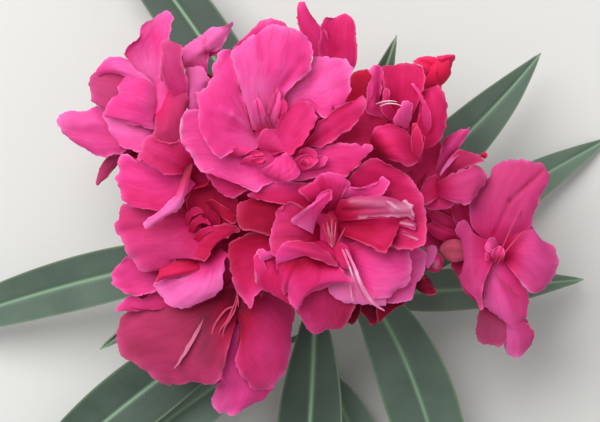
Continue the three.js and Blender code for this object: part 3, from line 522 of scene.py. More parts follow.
# Half open flower at the right
HALF_OPEN_PETALS = (
    Petal("410,150 418,138 432,136 443,146 450,168 457,190 454,206 438,210 424,208 416,198 410,180 "
          "404,164", (58, 60, 59), tone=(0.6, 0.65), red=0.25, wave=0.5, under=False),
    Petal("440,196 428,204 424,205 419,195 424,184 434,174 442,182", (60, 63, 63),
          tone=(0.52, 0.56), red=0.25),
    Petal("434,176 438,160 441,150 443,140 451,134 460,130 466,128 470,126 469,132 465,139 460,147 "
          "457,152 448,160 442,176", (59, 66, 68), cup=-1.5, tone=(0.82, 0.7), mauve=0.1, red=0.1,
          folds=((448, 148, 466, 131, 0.5, 3, 0.07),)),
    Petal("438,182 441,171 451,161 458,150 469,152 475,154 481,156 484,161 475,165 461,170 452,176 "
          "444,184", (60, 66, 65), tilt=-1.5, tone=(0.58, 0.44), across=-0.14, mauve=0.15),
    Petal("458,149 453,154 447,162 442,170 440,176 446,169 452,162 458,156 464,151", (66, 68, 68.5),
          tone=(0.6, 0.8), mauve=0.4, pale=0.05, wave=0.2, under=False, step=1),
    Petal("481,157 481,154 484,152 487,153 488,156 485,159", (63, 65, 64), tone=(0.34, 0.36),
          red=0.3, wave=0.2),
    Petal("434,190 436,184 443,179 451,174 463,170 475,165 481,167 487,177 483,187 475,196 471,203 "
          "465,205 455,203 445,199 436,196", (60, 68, 64), cup=-1.5, tone=(0.42, 0.57), across=0.2,
          mauve=0.25, folds=((446, 186, 478, 174, 0.5, 5, 0.03),)),
)

# Flower at the far right, with a small crest in its throat
FAR_RIGHT_PETALS = (
    Petal("474,242 452,248 434,250 420,246 414,232 416,214 426,202 440,196 456,200 472,202 480,222",
          (44, 45, 44), tone=(0.6, 0.65), wave=0.4, under=False),
    Petal("452,226 444,214 432,208 426,200 430,197 440,199 450,206 458,218", (47.5, 50, 51),
          cup=-1.2, tone=(0.48, 0.6), red=0.2, wave=0.3, under=False, step=1.3,
          folds=((432, 202, 452, 216, 0.5, 2, 0.1),)),
    Petal("456,236 444,228 434,222 427,212 431,209 440,212 452,218 460,228", (47.5, 51, 52),
          cup=-1.2, tone=(0.5, 0.62), red=0.2, wave=0.3, under=False, step=1.3,
          folds=((434, 214, 454, 226, 0.5, 2, 0.1),)),
    Petal("460,242 446,242 434,236 426,226 430,222 442,226 454,230 464,236", (47.5, 51, 51),
          cup=-1.2, tone=(0.44, 0.56), red=0.15, wave=0.3, under=False, step=1.3,
          folds=((432, 228, 456, 236, 0.4, 2, 0.1),)),
    Petal("468,240 456,226 452,212 458,203 468,204 478,214 482,232", (47, 49.5, 51), cup=-1,
          tone=(0.62, 0.7), red=0.15, wave=0.3, under=False, step=1.4,
          folds=((462, 206, 470, 236, -0.4, 2.5, -0.1),)),
    Petal("474,256 456,262 446,259 441,252 441,245 446,241 455,239 464,241 474,246", (50, 53, 52),
          cup=-1.5, tone=(0.5, 0.44), red=0.3, pale=0.15, rim=0.2, wave=0.3,
          folds=((446, 246, 468, 246, 0.5, 2, 0.12), (444, 252, 470, 253, -0.4, 1.5, -0.16),
                 (450, 258, 472, 257, 0.3, 2, 0.08))),
    Petal("486,290 466,258 453,258 451,264 455,272 460,280 465,292 474,300 488,306", (48, 48, 47),
          tone=(0.3, 0.38), mauve=0.1),
    Petal("494,300 480,308 477,317 476,328 478,340 488,345 500,346 508,338 510,320 504,304",
          (46, 46, 43), tone=(0.5, 0.33), across=0.28, mauve=0.4),
    Petal("488,262 484,281 482,293 483,301 489,310 499,317 507,324 506,334 504,346 508,354 515,358 "
          "522,356 528,349 535,336 531,328 525,319 527,315 529,305 528,293 522,285 515,272 506,260",
          (52, 51, 42), cup=-1.5, tone=(0.76, 0.74), across=-0.4, mauve=0.25, step=1.3,
          folds=((494, 282, 520, 340, 0.5, 6, 0.03), (512, 290, 522, 330, -0.4, 5, -0.03))),
    Petal("500,240 516,228 528,221 533,229 538,238 546,242 554,246 557,254 558,264 556,273 551,281 "
          "546,287 540,292 536,294 529,291 524,286 518,279 512,271 502,258", (53, 58, 52), cup=-2,
          tone=(0.3, 0.7), across=0.06, mauve=0.25,
          folds=((512, 246, 548, 268, 0.5, 6, 0.03), (510, 258, 536, 282, -0.5, 5, -0.04))),
    Petal("490,246 478,234 472,227 470,215 470,204 476,193 488,178 492,169 498,163 507,160 517,160 "
          "522,158 529,161 537,162 541,162 545,166 543,173 549,179 548,184 543,191 538,203 533,217 "
          "531,226 522,234 504,246", (53, 61, 61), cup=-2, tone=(0.61, 0.56), across=-0.05,
          mauve=0.25,
          folds=((543, 171, 510, 201, -0.8, 2.2, -0.1), (510, 201, 494, 234, -0.6, 2.2, -0.1),
                 (538, 188, 516, 226, 0.5, 6, 0.05))),
    Petal("490,240 482,238 474,233 469,226 465,220 459,222 455,231 457,236 461,240 466,245 466,254 "
          "465,267 461,273 459,277 461,282 466,289 473,294 477,302 481,311 483,309 482,295 484,283 "
          "489,271 494,260", (55, 58, 55), cup=1.5, tone=(0.59, 0.62), mauve=0.22,
          folds=((470, 236, 474, 288, 0.5, 4, 0.04),)),
    Petal("496,254 486,250 487,241 493,238 499,243", (55, 59, 59), cup=1.5, tone=(0.95, 0.86),
          red=0.1, wave=0.6, step=1),
    Petal("492,262 486,260 486,252 492,250 498,255", (55, 58.5, 58), cup=1.5, tone=(0.44, 0.7),
          red=0.15, wave=0.6, step=1),
    Petal("494,262 492,254 499,246 504,252 503,262", (55, 59, 58), cup=1.5, tone=(0.5, 0.74),
          red=0.1, wave=0.6, step=1),
)

FLOWERS = {
    "bloom_head": Flower((-11, 20, 84), (100, 8), 20, HEAD_PETALS),
    "bloom_heart": Flower((12, -5, 80), (300, 8), 20, HEART_PETALS),
    "bloom_left_high": Flower((-36, 13, 78), (165, 20), 20, LEFT_HIGH_PETALS),
    "bloom_left_low": Flower((-33, -5, 72), (200, 25), 20, LEFT_LOW_PETALS),
    "bloom_front_left": Flower((-22, -29, 62), (245, 30), 20, FRONT_LEFT_PETALS),
    "bloom_far_left": Flower((-47, 40, 60), (125, 32), 20, FAR_LEFT_PETALS),
    "bloom_back_left": Flower((-33, 42, 55), (155, 25), 20, BACK_LEFT_PETALS),
    "bloom_back": Flower((10, 48, 56), (80, 30), 20, BACK_PETALS),
    "bloom_cupped": Flower((34, 28, 72), (40, 20), 20, CUPPED_PETALS),
    "bloom_half_open": Flower((47, 9, 62), (20, 45), 18, HALF_OPEN_PETALS),
    "bloom_far_right": Flower((64, -13, 54), (357, 55), 20, FAR_RIGHT_PETALS),
}

# The bud whose outer petals come loose
TWISTED_PETALS = (
    Petal("428,86 424,85 425,78 431,71 424,65 419,64 413,62 418,58 425,56 435,57 441,62 440,74 "
          "436,82", (60, 67, 68), cup=-2.5, tone=(0.35, 0.6), red=0.9, wave=0.3, under=False,
          folds=((420, 61, 438, 68, -0.8, 2, -0.2), (430, 72, 436, 78, 0.8, 2, 0.1))),
    Petal("434,82 436,72 438,62 436,57 445,55 451,54 455,55 455,58 452,63 449,71 445,78 441,85 "
          "439,87", (60, 68, 70), cup=-2.5, tone=(0.4, 0.62), red=0.9, wave=0.3, under=False,
          folds=((440, 84, 446, 58, -0.9, 2, -0.22), (437, 60, 452, 56, 0.8, 2, 0.12))),
)
BUDS = {
    "bud_twisted": Bud((40, 40, 58), (51, 52, 70), 4.7, 0.4, red=0.85),
    # its pale share is a painted highlight near the tip
    "bud_round": Bud((45, -17, 44), (46, -18, 58), 3.4, 0.66, red=0.3, pale=0.34),
    "bud_slim": Bud((42, -20, 46), (45, -12, 57), 1.9, 0.3, mauve=0.2),
    # painted shade: these two buds have very low tones
    "bud_dark_left": Bud((21, -28, 50), (17, -38, 53), 2.4, 0.02, mauve=0.1),
    "bud_dark_right": Bud((27, -28, 48), (25, -39, 50), 2.9, 0.04, mauve=0.1),
    "bud_drooping": Bud((38, -20, 52), (46, -28, 54), 2.3, 0.14, mauve=0.2),
}

# Stamens and the thin threads of the throats by colour: sheet places with heights, and radius, mm
THREADS = {
    "rosy": (
        (((237, 294, 62), (234, 306, 62.5), (227, 309, 62.5), (219, 318, 62), (214, 327, 61.5),
          (212, 335, 61), (214, 346, 59.5)), 0.42),
        (((236, 300, 62.5), (233, 308, 63), (227, 321, 62.5), (221, 329, 62), (218, 336, 61)), 0.36),
        (((237, 300, 62.5), (235, 310, 63), (230, 319, 63), (225, 327, 62), (223, 335, 61),
          (224, 345, 60)), 0.36),
        (((237, 292, 62), (238, 300, 63), (238.5, 307, 62.5)), 0.4),
        (((234, 268, 60), (236, 284, 61), (237, 300, 61), (233, 316, 60)), 0.4),
        (((333.5, 247, 82), (327, 236, 83.5), (323, 224, 84)), 0.28),
        (((336, 246, 82), (341, 236, 83.5), (345, 228, 84)), 0.28),
        (((270, 129, 85.5), (262, 110, 90.6), (258, 92, 93.2)), 0.22),
        (((273, 129, 85.5), (267, 112, 90.6), (265, 98, 92.4)), 0.22),
        (((278, 128, 85.5), (276, 106, 91), (274, 86, 93.8)), 0.22),
        (((280, 128, 85.5), (281, 108, 91), (281, 90, 93.8)), 0.22),
        (((285, 130, 85.5), (292, 114, 89), (299, 100, 91)), 0.22),
        (((495, 262, 57), (504, 244, 60), (512, 226, 62), (521, 210, 62)), 0.3),
        (((497, 264, 57), (507, 250, 60), (517, 238, 60.5), (525, 230, 60)), 0.3),
        (((493, 268, 56), (500, 280, 56), (510, 290, 55), (519, 298, 53)), 0.3),
    ),
    "tan": (
        (((333, 246, 82.5), (330, 234, 84.5), (327, 222, 84.5)), 0.22),
        (((333.5, 246, 82.5), (332, 233, 85), (332, 219, 84.5)), 0.22),
        (((334.5, 245, 82.5), (335, 233, 84.5), (336, 222, 84)), 0.22),
    ),
    "white": (
        (((376, 104, 82), (384, 101.5, 85), (393, 101, 86), (397, 102, 86)), 0.22),
        (((380, 106, 83), (388, 103.5, 85.5), (396, 104, 86), (402, 106, 86)), 0.22),
    ),
}

# Stem and the limbs that it ends in, mm from the middle of the head, with their radii
STEM_PATH = ((-3, -150, 3.2), (-3, -116, 3.2), (-2, -84, 5), (1, -54, 11), (4, -30, 22),
             (5, -12, 37))
STEM_RADII = (3.2, 2.3)
LIMBS = {
    "flower_stalk": ((5, -12, 37), (5, -6, 43), (4, 2, 51)),
    "bough_left": ((5, -4, 45), (-9, 1, 49), (-20, 5, 49)),
    "bough_back": ((5, -2, 46), (1, 12, 46), (-8, 24, 42)),
    "bough_right": ((5, -5, 44), (17, -3, 47), (27, 2, 46)),
}
LIMB_RADII = {"flower_stalk": (2.3, 1.9), "bough_left": (1.9, 1.5), "bough_back": (1.9, 1.5),
              "bough_right": (1.9, 1.5)}

# Limb or stalk that each flower's and bud's own stalk leaves, and how far along it
STALK_ROOTS = {
    "bloom_head": ("flower_stalk", 0.92), "bloom_heart": ("flower_stalk", 0.7),
    "bloom_left_high": ("bough_left", 0.93), "bloom_left_low": ("bough_left", 0.78),
    "bloom_front_left": ("bough_left", 0.45), "bloom_far_left": ("bough_back", 0.94),
    "bloom_back_left": ("bough_back", 0.72), "bloom_back": ("bough_back", 0.5),
    "bloom_cupped": ("bough_right", 0.62), "bloom_half_open": ("bough_right", 0.95),
    "bloom_far_right": ("bough_right", 0.86), "bud_twisted": ("bloom_cupped", 0.45),
    "bud_round": ("bough_right", 0.68), "bud_slim": ("bud_round", 0.6),
    "bud_dark_right": ("bough_right", 0.35), "bud_dark_left": ("bud_dark_right", 0.5),
    "bud_drooping": ("bough_right", 0.55),
}

LEAVES = {
    "leaf_right_up": Leaf(0.97, (50, 14, 42), (84, 55, 22), 19, -12, 0.6),
    "leaf_left": Leaf(0.97, (-40, -8, 40), (-146, -47, 1), 19, 12, 0.6),
    "leaf_front_right": Leaf(0.96, (37, -22, 38), (58, -128, 1), 25, 0, 0.6),
    "leaf_front_left": Leaf(0.86, (-32, -38, 34), (-112, -112, 2), 23, 0, 0.15),
    "leaf_right": Leaf(0.86, (38, -30, 26), (100, -24, 6), 15, 10, 0.95),
    "leaf_back_left": Leaf(0.87, (-8, 40, 40), (-86, 124, 3), 21, 0, 0.0),
    "leaf_front": Leaf(0.9, (7, -42, 40), (-2, -139, 7.5), 23, 0, 0.15),
    "leaf_right_low": Leaf(0.75, (50, -6, 20), (110, 26, 1), 19, -8, 0.95),
    "leaf_front_left_low": Leaf(0.74, (-22, -52, 22), (-84, -104, 1), 20, 0, 1.0),
    "leaf_front_right_low": Leaf(0.66, (20, -58, 13), (27, -128, 1), 19, 0, 0.95),
    "leaf_back": Leaf(0.93, (18, 14, 38), (33, 60, 46), 13, 0, 0.3),
    "leaf_small_left": Leaf(0.93, (-34, -22, 42), (-69, -48, 34), 10, 20, 0.1),
}


# Settings

def linear(hex_colour):
    """An sRGB hex colour as linear red, green and blue."""
    channels = (int(hex_colour[i:i + 2], 16) / 255 for i in (0, 2, 4))
    return tuple(c / 12.92 if c <= 0.04045 else ((c + 0.055) / 1.055) ** 2.4 for c in channels)


def colour(name, description, hex_colour):
    """A colour property with an sRGB hex default."""
    return bpy.props.FloatVectorProperty(
        name=name, description=description, default=linear(hex_colour), size=3,
        subtype="COLOR", min=0.0, max=1.0)


def size(name, description, default_mm):
    """A length property, given in millimetres."""
    return bpy.props.FloatProperty(
        name=name, description=description, default=default_mm * MM, min=0.0,
        subtype="DISTANCE", unit="LENGTH", precision=5)


class PetalSettings(bpy.types.PropertyGroup):
    """Sizes and colours of the petals and buds."""
    thickness: size("Thickness", "Thickness of a petal", 0.35)
    vein_spacing: size("Vein spacing", "Distance between the fine veins", 0.7)
    ruffle: size("Ruffle", "Height of the waves at a petal's edge", 0.85)
    # the deep end of the ramp also serves for painted shade
    deep: colour("Deep crimson", "Petal colour in the darkest folds", "540820")
    crimson: colour("Crimson", "Petal colour near the throat", "A60C38")
    rose: colour("Rose", "Petal colour at half depth", "CA2262")
    pink: colour("Pink", "Petal colour over most of its face", "E43E8C")
    blush: colour("Blush", "Petal colour at its lightest", "F46AB4")
    # the mauve is a painted greyish lilac cast from sky reflection and shade
    mauve: colour("Mauve", "Colour of bruised and older petals", "965A86")
    scarlet: colour("Scarlet", "Colour of buds and young petals", "F0284F")
    pale: colour("Pale streak", "Colour of the light streaks", "F4C6DC")


class LeafSettings(bpy.types.PropertyGroup):
    """Sizes and colours of the leaves."""
    thickness: size("Thickness", "Thickness of the blade", 0.55)
    vein_spacing: size("Vein spacing", "Distance between side veins", 1.5)
    blade: colour("Blade", "Colour of the upper face", "64796A")
    dark: colour("Dark blade", "Colour of the blade's darker parts", "3A4C40")
    midrib: colour("Midrib", "Colour of the midrib", "86A688")
    margin: colour("Margin", "Colour of the thin edge", "8FA37C")


class StemSettings(bpy.types.PropertyGroup):
    """Sizes and colours of the stem and stalks."""
    relief: size("Bark relief", "Depth of the bark's furrows", 0.18)
    pore: size("Pore", "Radius of a pore of the bark", 0.32)
    bark: colour("Bark", "Colour of the young bark", "6E7548")
    bark_old: colour("Older bark", "Colour of the bark near the cut end", "7A6A4C")
    stalk: colour("Stalk", "Colour of the flower stalks", "7C3A3A")
    stalk_green: colour("Green stalk", "Colour of the shaded side of the stalks", "6F7A45")
    rosy: colour("Rosy threads", "Colour of the threads of the outer flowers", "C83A66")
    tan: colour("Tan threads", "Colour of the stamens in the large flower", "DE5C84")
    white: colour("White threads", "Colour of the palest threads", "F3C4D6")


class StageSettings(bpy.types.PropertyGroup):
    """Floor, light and camera."""
    floor_width: bpy.props.FloatProperty(
        name="Floor width", description="Width of the floor", default=8.0,
        subtype="DISTANCE", unit="LENGTH")
    floor_colour: colour("Floor", "Colour of the floor", "D9D9D6")
    key_width: bpy.props.FloatProperty(
        name="Key light width", description="Width of the large soft light", default=1.4,
        min=0.0, subtype="DISTANCE", unit="LENGTH")
    key_power: bpy.props.FloatProperty(
        name="Key light", description="Power of the large soft light, in watts", default=26.5,
        min=0.0)
    fill_power: bpy.props.FloatProperty(
        name="Fill", description="Strength of the light from all round", default=0.5, min=0.0)


# Lines and places

def even(line, count):
    """A polyline dealt out again into count points at even steps."""
    steps = np.linalg.norm(np.diff(line, axis=0), axis=1)
    reach = np.concatenate(((0.0,), np.cumsum(steps)))
    places = np.linspace(0.0, reach[-1], count)
    return np.stack([np.interp(places, reach, line[:, k]) for k in range(line.shape[1])], -1)


def smooth_line(points, count):
    """A smooth curve through all the points, dealt out evenly along it."""
    points = np.asarray(points, float)
    padded = np.concatenate(
        ((2 * points[0] - points[1],), points, (2 * points[-1] - points[-2],)))
    parts = []
    for k in range(len(points) - 1):
        a, b, c, d = padded[k:k + 4]
        gaps = [max(np.linalg.norm(q - p), 1e-6) ** 0.5 for p, q in ((a, b), (b, c), (c, d))]
        t0, t1 = 0.0, gaps[0]
        t2 = t1 + gaps[1]
        t3 = t2 + gaps[2]
        t = np.linspace(t1, t2, 9)[:, None]
        ab = (t1 - t) / (t1 - t0) * a + (t - t0) / (t1 - t0) * b
        bc = (t2 - t) / (t2 - t1) * b + (t - t1) / (t2 - t1) * c
        cd = (t3 - t) / (t3 - t2) * c + (t - t2) / (t3 - t2) * d
        abc = (t2 - t) / (t2 - t0) * ab + (t - t0) / (t2 - t0) * bc
        bcd = (t3 - t) / (t3 - t1) * bc + (t - t1) / (t3 - t1) * cd
        parts.append((t2 - t) / (t2 - t1) * abc + (t - t1) / (t2 - t1) * bcd)
    return even(np.concatenate(parts), count)


def lay(x, y, height):
    """Where a point at a height (mm) lies so that it shows at its place on the sheet."""
    reach = (CAMERA_RISE + SHEET_LEVEL - height) / CAMERA_RISE / SHEET_SCALE
    return np.stack((HEAD[0] + (x - SHEET_MIDDLE[0]) * reach,
                     HEAD[1] + (SHEET_MIDDLE[1] - y) * reach,
                     height + 0.0 * x), -1)


def leaning(lean):
    """The unit axis for a heading and a tilt from upright, in degrees."""
    heading, tilt = (math.radians(a) for a in lean)
    return np.array((math.sin(tilt) * math.cos(heading), math.sin(tilt) * math.sin(heading),
                     math.cos(tilt)))


def unit(vector):
    """The same direction at length 1."""
    return vector / max(np.linalg.norm(vector), 1e-9)


def bent_line(start, bend, end, count):
    """Points on a curve from start to end that is drawn towards bend."""
    t = np.linspace(0.0, 1.0, count)[:, None]
    return (1 - t) ** 2 * start + 2 * t * (1 - t) * bend + t ** 2 * end


def waves(places, rng, shortest, longest, count=6):
    """A smooth random height for each place, about -1 to 1, with waves of the given lengths."""
    total = np.zeros(places.shape[:-1])
    for _ in range(count):
        angle, phase = rng.uniform(0, 2 * math.pi, 2)
        length = rng.uniform(shortest, longest)
        along = places[..., 0] * math.cos(angle) + places[..., 1] * math.sin(angle)
        total += np.sin(2 * math.pi * along / length + phase)
    return total / math.sqrt(count * 2)


def ease(x):
    """A smooth rise from 0 to 1."""
    x = np.clip(x, 0.0, 1.0)
    return x * x * (3 - 2 * x)


def beside(places, x0, y0, x1, y1, half):
    """How close each place lies to a straight segment: 1 on it, fading over a half width."""
    start = np.array((x0, y0))
    run = np.array((x1 - x0, y1 - y0))
    share = np.clip(((places - start) @ run) / (run @ run), 0.0, 1.0)
    gap = np.linalg.norm(places - start - share[..., None] * run, axis=-1)
    return np.exp(-(gap / half) ** 2)


# Patches and pieces

def shell(points, masks, ruler, thickness, wrap=False, face_up=False, under_masks=None):
    """A thin closed sheet whose outer face is a grid of points. ruler holds the place of each point
    along and across the sheet in mm, with one column more where the grid wraps round."""
    rows, cols = points.shape[:2]
    along = np.gradient(points, axis=0)
    if wrap:
        ring = np.concatenate((points[:, -1:], points, points[:, :1]), axis=1)
        across = (ring[:, 2:] - ring[:, :-2]) / 2
    else:
        across = np.gradient(points, axis=1)
    normal = np.cross(across, along)
    normal /= np.maximum(np.linalg.norm(normal, axis=2, keepdims=True), 1e-9)
    turned = face_up and normal[..., 2].mean() < 0
    if turned:
        normal = -normal
    if np.ndim(thickness) == 2:
        thickness = thickness[..., None]
    outer = points.reshape(-1, 3)
    inner = (points - normal * thickness).reshape(-1, 3)
    spans = cols if wrap else cols - 1
    i, j = np.meshgrid(np.arange(rows - 1), np.arange(spans), indexing="ij")
    i, j = i.ravel(), j.ravel()
    corner_i = np.stack((i, i, i + 1, i + 1), -1)
    corner_j = np.stack((j, j + 1, j + 1, j), -1)
    quads = corner_i * cols + corner_j % cols
    cell = np.stack((corner_j / spans, corner_i / (rows - 1)), -1)
    marks = ruler[corner_i, corner_j]
    total = rows * cols

    # the rim runs over neighbouring pairs of edge points, each given by its row and column
    pairs = [((0, k), (0, k + 1)) for k in range(spans)]
    pairs += [((rows - 1, k + 1), (rows - 1, k)) for k in range(spans)]
    if not wrap:
        pairs += [((k, cols - 1), (k + 1, cols - 1)) for k in range(rows - 1)]
        pairs += [((k + 1, 0), (k, 0)) for k in range(rows - 1)]
    rim_i, rim_j = np.moveaxis(np.array(pairs)[:, (1, 0, 0, 1)], -1, 0)
    rim_faces = rim_i * cols + rim_j % cols + (0, 0, total, total)
    rim_cell = np.stack((rim_j / spans, rim_i / (rows - 1)), -1)
    rim_marks = ruler[rim_i, rim_j]

    order = slice(None, None, -1) if turned else slice(None)
    back = slice(None, None, -1) if not turned else slice(None)
    faces = np.concatenate((quads[:, order], quads[:, back] + total, rim_faces[:, order]))
    cells = np.concatenate((cell[:, order], cell[:, back], rim_cell[:, order]))
    marks = np.concatenate((marks[:, order], marks[:, back], rim_marks[:, order]))
    which = np.concatenate((np.zeros(len(quads), int), np.ones(len(quads), int),
                            np.zeros(len(rim_faces), int)))
    flat = masks.reshape(-1, 4)
    below = flat if under_masks is None else under_masks.reshape(-1, 4)
    return {"verts": np.concatenate((outer, inner)), "faces": faces, "cells": cells,
            "marks": marks, "which": which, "masks": np.concatenate((flat, below))}


def new_object(name, data):
    """An object in the scene for a mesh, light or camera."""
    piece = bpy.data.objects.new(name, data)
    bpy.context.scene.collection.objects.link(piece)
    return piece


def make_piece(name, patches, material, mask_name):
    """One mesh object from patches, with their masks, a ruler map and a map with its own cell for
    each face of each patch."""
    verts, faces, cells, marks, masks = [], [], [], [], []
    columns = math.ceil(math.sqrt(2 * len(patches)))
    start = 0
    for k, patch in enumerate(patches):
        verts.append(patch["verts"])
        faces.append(patch["faces"] + start)
        start += len(patch["verts"])
        spot = 2 * k + patch["which"]
        corner = np.stack((spot % columns, spot // columns), -1)[:, None, :]
        cells.append((corner + CELL_MARGIN + (1 - 2 * CELL_MARGIN) * patch["cells"]) / columns)
        marks.append(patch["marks"])
        masks.append(patch["masks"])
    mesh = bpy.data.meshes.new(name)
    mesh.from_pydata((np.concatenate(verts) * MM).tolist(), [], np.concatenate(faces).tolist())
    layer = mesh.uv_layers.new(name="OFBake")
    layer.uv.foreach_set("vector", np.concatenate(cells).astype(np.float32).ravel())
    layer = mesh.uv_layers.new(name="ruler")
    layer.uv.foreach_set("vector", np.concatenate(marks).astype(np.float32).ravel())
    attribute = mesh.color_attributes.new(mask_name, "FLOAT_COLOR", "POINT")
    attribute.data.foreach_set("color", np.concatenate(masks).astype(np.float32).ravel())
    mesh.shade_smooth()
    mesh.set_sharp_from_angle(angle=math.radians(SHARP_EDGE))
    mesh.materials.append(material)
    return new_object(name, mesh)


def place(piece, slot_name, *nodes):
    """A finished piece rides with the shoot and hides its nodes. The slot name is not used."""
    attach(piece, "root")
    if nodes:
        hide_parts(*nodes)


# Petals

def outline_of(spec):
    """The outline of a petal as an array of sheet places."""
    return np.array([[float(n) for n in pair.split(",")] for pair in spec.outline.split()])


def reach_of(spec):
    """How far a petal's outline goes from the middle of its root."""
    outline = outline_of(spec)
    return np.linalg.norm(outline - (outline[0] + outline[-1]) / 2, axis=1).max()


def painted_shade_of(plan, above):
    """How close each place lies to the edge of a petal above it, 0 to 1: the strength of the painted
    shade there.
    """
    near = np.zeros(plan.shape[:2])
    low, high = plan.min((0, 1)) - COVER_REACH, plan.max((0, 1)) + COVER_REACH
    for line in above:
        line = line[((line > low) & (line < high)).all(1)]
        if len(line):
            gap = np.linalg.norm(plan[:, :, None] - line, axis=3).min(2)
            near = np.maximum(near, np.exp(-(gap / COVER_REACH * 2.2) ** 2))
    return near


def petal_plan(spec):
    """Fills a petal's outline with a grid of sheet places. Gives the grid, the share of each place
    along (u) and across (v), and the petal's length and width in sheet units."""
    line = smooth_line(outline_of(spec), LINE_STEPS + 1)
    root = (line[0] + line[-1]) / 2
    length = np.linalg.norm(line - root, axis=1).max()
    perimeter = np.linalg.norm(np.diff(line, axis=0), axis=1).sum()
    width = max(perimeter - 2 * length, 6.0)
    rows = int(np.clip(length / spec.step, 10, 72))
    cols = int(np.clip(width / spec.step, 10, 60))
    cut = int(np.clip(length / perimeter, 0.26, 0.44) * LINE_STEPS)
    left = even(line[:cut + 1], rows)
    right = even(line[LINE_STEPS - cut:][::-1], rows)
    tip = even(line[cut:LINE_STEPS + 1 - cut], cols)
    u = np.linspace(0, 1, rows)[:, None, None]
    v = np.linspace(0, 1, cols)[None, :, None]
    plan = ((1 - u) * (line[0] + (line[-1] - line[0]) * v) + u * tip[None]
            + (1 - v) * left[:, None] + v * right[:, None]
            - (1 - u) * ((1 - v) * line[0] + v * line[-1])
            - u * ((1 - v) * tip[0] + v * tip[-1]))
    return plan, u[..., 0], v[..., 0], length, width


def petal_patch(spec, thickness, ruffle, seed, above=()):
    """The thin closed sheet of one petal, with masks for tone, mauve, pale and red. It gets painted
    shade beside the petals above it, whose outlines are given."""
    rng = np.random.default_rng(seed)
    plan, u, v, length, width = petal_plan(spec)
    flat = plan / SHEET_SCALE
    side = 2 * v - 1
    out = np.minimum(1, 2.2 * u)  # rises from the root to 1 before the middle
    edge = 1 - (1 - u ** 6) * (1 - np.abs(side) ** 5 * out)  # 1 at the free edge, 0 inside it

    low, mid, high = spec.heights
    swell = 2 * mid - (low + high) / 2
    height = (1 - u) ** 2 * low + 2 * u * (1 - u) * swell + u ** 2 * high
    height = height + spec.cup * (side ** 2 - 0.35) * out + spec.tilt * side / 2 * out
    height = height + spec.wave * ruffle * edge ** 2 * waves(flat, rng, *EDGE_WAVES)
    height = height + spec.wave * ruffle * BLADE_SWELL * out * waves(flat, rng, *BLADE_WAVES)
    phases = rng.uniform(0, 2 * math.pi, 3)
    ribs = sum(np.sin(2 * math.pi * (n * v + 0.12 * np.sin(3 * u + phase)) + phase)
               for n, phase in zip(RIBS, phases))
    height = height + spec.rib * RIB_HEIGHT * ribs * out * (1 - 0.6 * u) * min(1.0, width / 40)

    tone_root, tone_tip = spec.tone
    tone = tone_root + (tone_tip - tone_root) * ease(u / 0.62) + spec.across * side / 2
    tone = tone + TONE_SWELL * waves(flat, rng, *TONE_WAVES)
    # painted shade: darker beside the edges of the large petals above
    tone = tone - COVER_PAINTED_SHADE * painted_shade_of(plan, above)
    # a fold's change of tone is painted: darker for shade, lighter for a highlight
    for *segment, rise, half, change in spec.folds:
        near = beside(plan, *segment, half)
        height = height + rise * near
        tone = tone + change * near
    pale = np.full_like(height, spec.pale)
    for *segment, half, strength in spec.streaks:
        pale = np.maximum(pale, strength * beside(plan, *segment, half))
    # painted highlight: a thin lighter, paler rim along the free edge
    rim = spec.rim * (1 - (1 - u ** 24) * (1 - np.abs(side) ** 24 * out))
    pale = np.maximum(pale, RIM_HIGHLIGHT_PALE * rim)
    tone = tone + RIM_HIGHLIGHT_TONE * rim

    for depth, *lengths in NICKS:
        nick = np.stack([waves(flat, rng, *lengths) for _ in range(2)], -1)
        plan = plan + depth * min(1.0, spec.wave + 0.2) * edge[..., None] ** 3 * nick
    points = lay(plan[..., 0], plan[..., 1], height)
    masks = np.stack(np.broadcast_arrays(
        np.clip(tone, 0, 1), spec.mauve * ease((u - 0.1) / 0.5), pale, spec.red), -1)
    ruler = np.stack(np.broadcast_arrays(v * width / SHEET_SCALE, u * length / SHEET_SCALE), -1)
    return shell(points, masks, ruler, thickness * (1 - 0.6 * edge), face_up=True,
                 under_masks=masks * (0.9, 1.0, 0.6, 1.0))


def under_petal(spec):
    """A smaller petal that lies under a large one, nearer to the throat, darkened as painted shade.
    """
    outline = outline_of(spec)
    root = (outline[0] + outline[-1]) / 2
    shrunk = root + (outline - root) * UNDER_SHRINK
    return Petal(" ".join(f"{x:.1f},{y:.1f}" for x, y in shrunk),
                 tuple(height - drop for height, drop in zip(spec.heights, UNDER_DROP)),
                 cup=spec.cup + 1, tone=tuple(max(0.05, t - UNDER_PAINTED_SHADE) for t in spec.tone),
                 mauve=spec.mauve, wave=0.6, step=4.0)


def ring_patch(foot, axis, length, radius, masks, girth, thickness):
    """A closed skin round an axis from its foot (mm), with a radius for each place along and round
    it. The ruler measures round it at the radius girth."""
    rows, cols = radius.shape
    t = np.linspace(0, 1, rows)[:, None]
    angle = 2 * math.pi * (np.arange(cols)[None, :] / cols)
    first = unit(np.cross(axis, (1.0, 0.2, 0.1)))
    second = np.cross(axis, first)
    points = (foot + axis * (t * length)[..., None] + first * (radius * np.cos(angle))[..., None]
              + second * (radius * np.sin(angle))[..., None])
    round_it = np.arange(cols + 1)[None, :] / cols * 2 * math.pi * girth
    marks = np.stack(np.broadcast_arrays(round_it, t * length), -1)
    return shell(points, masks, marks, thickness, wrap=True)


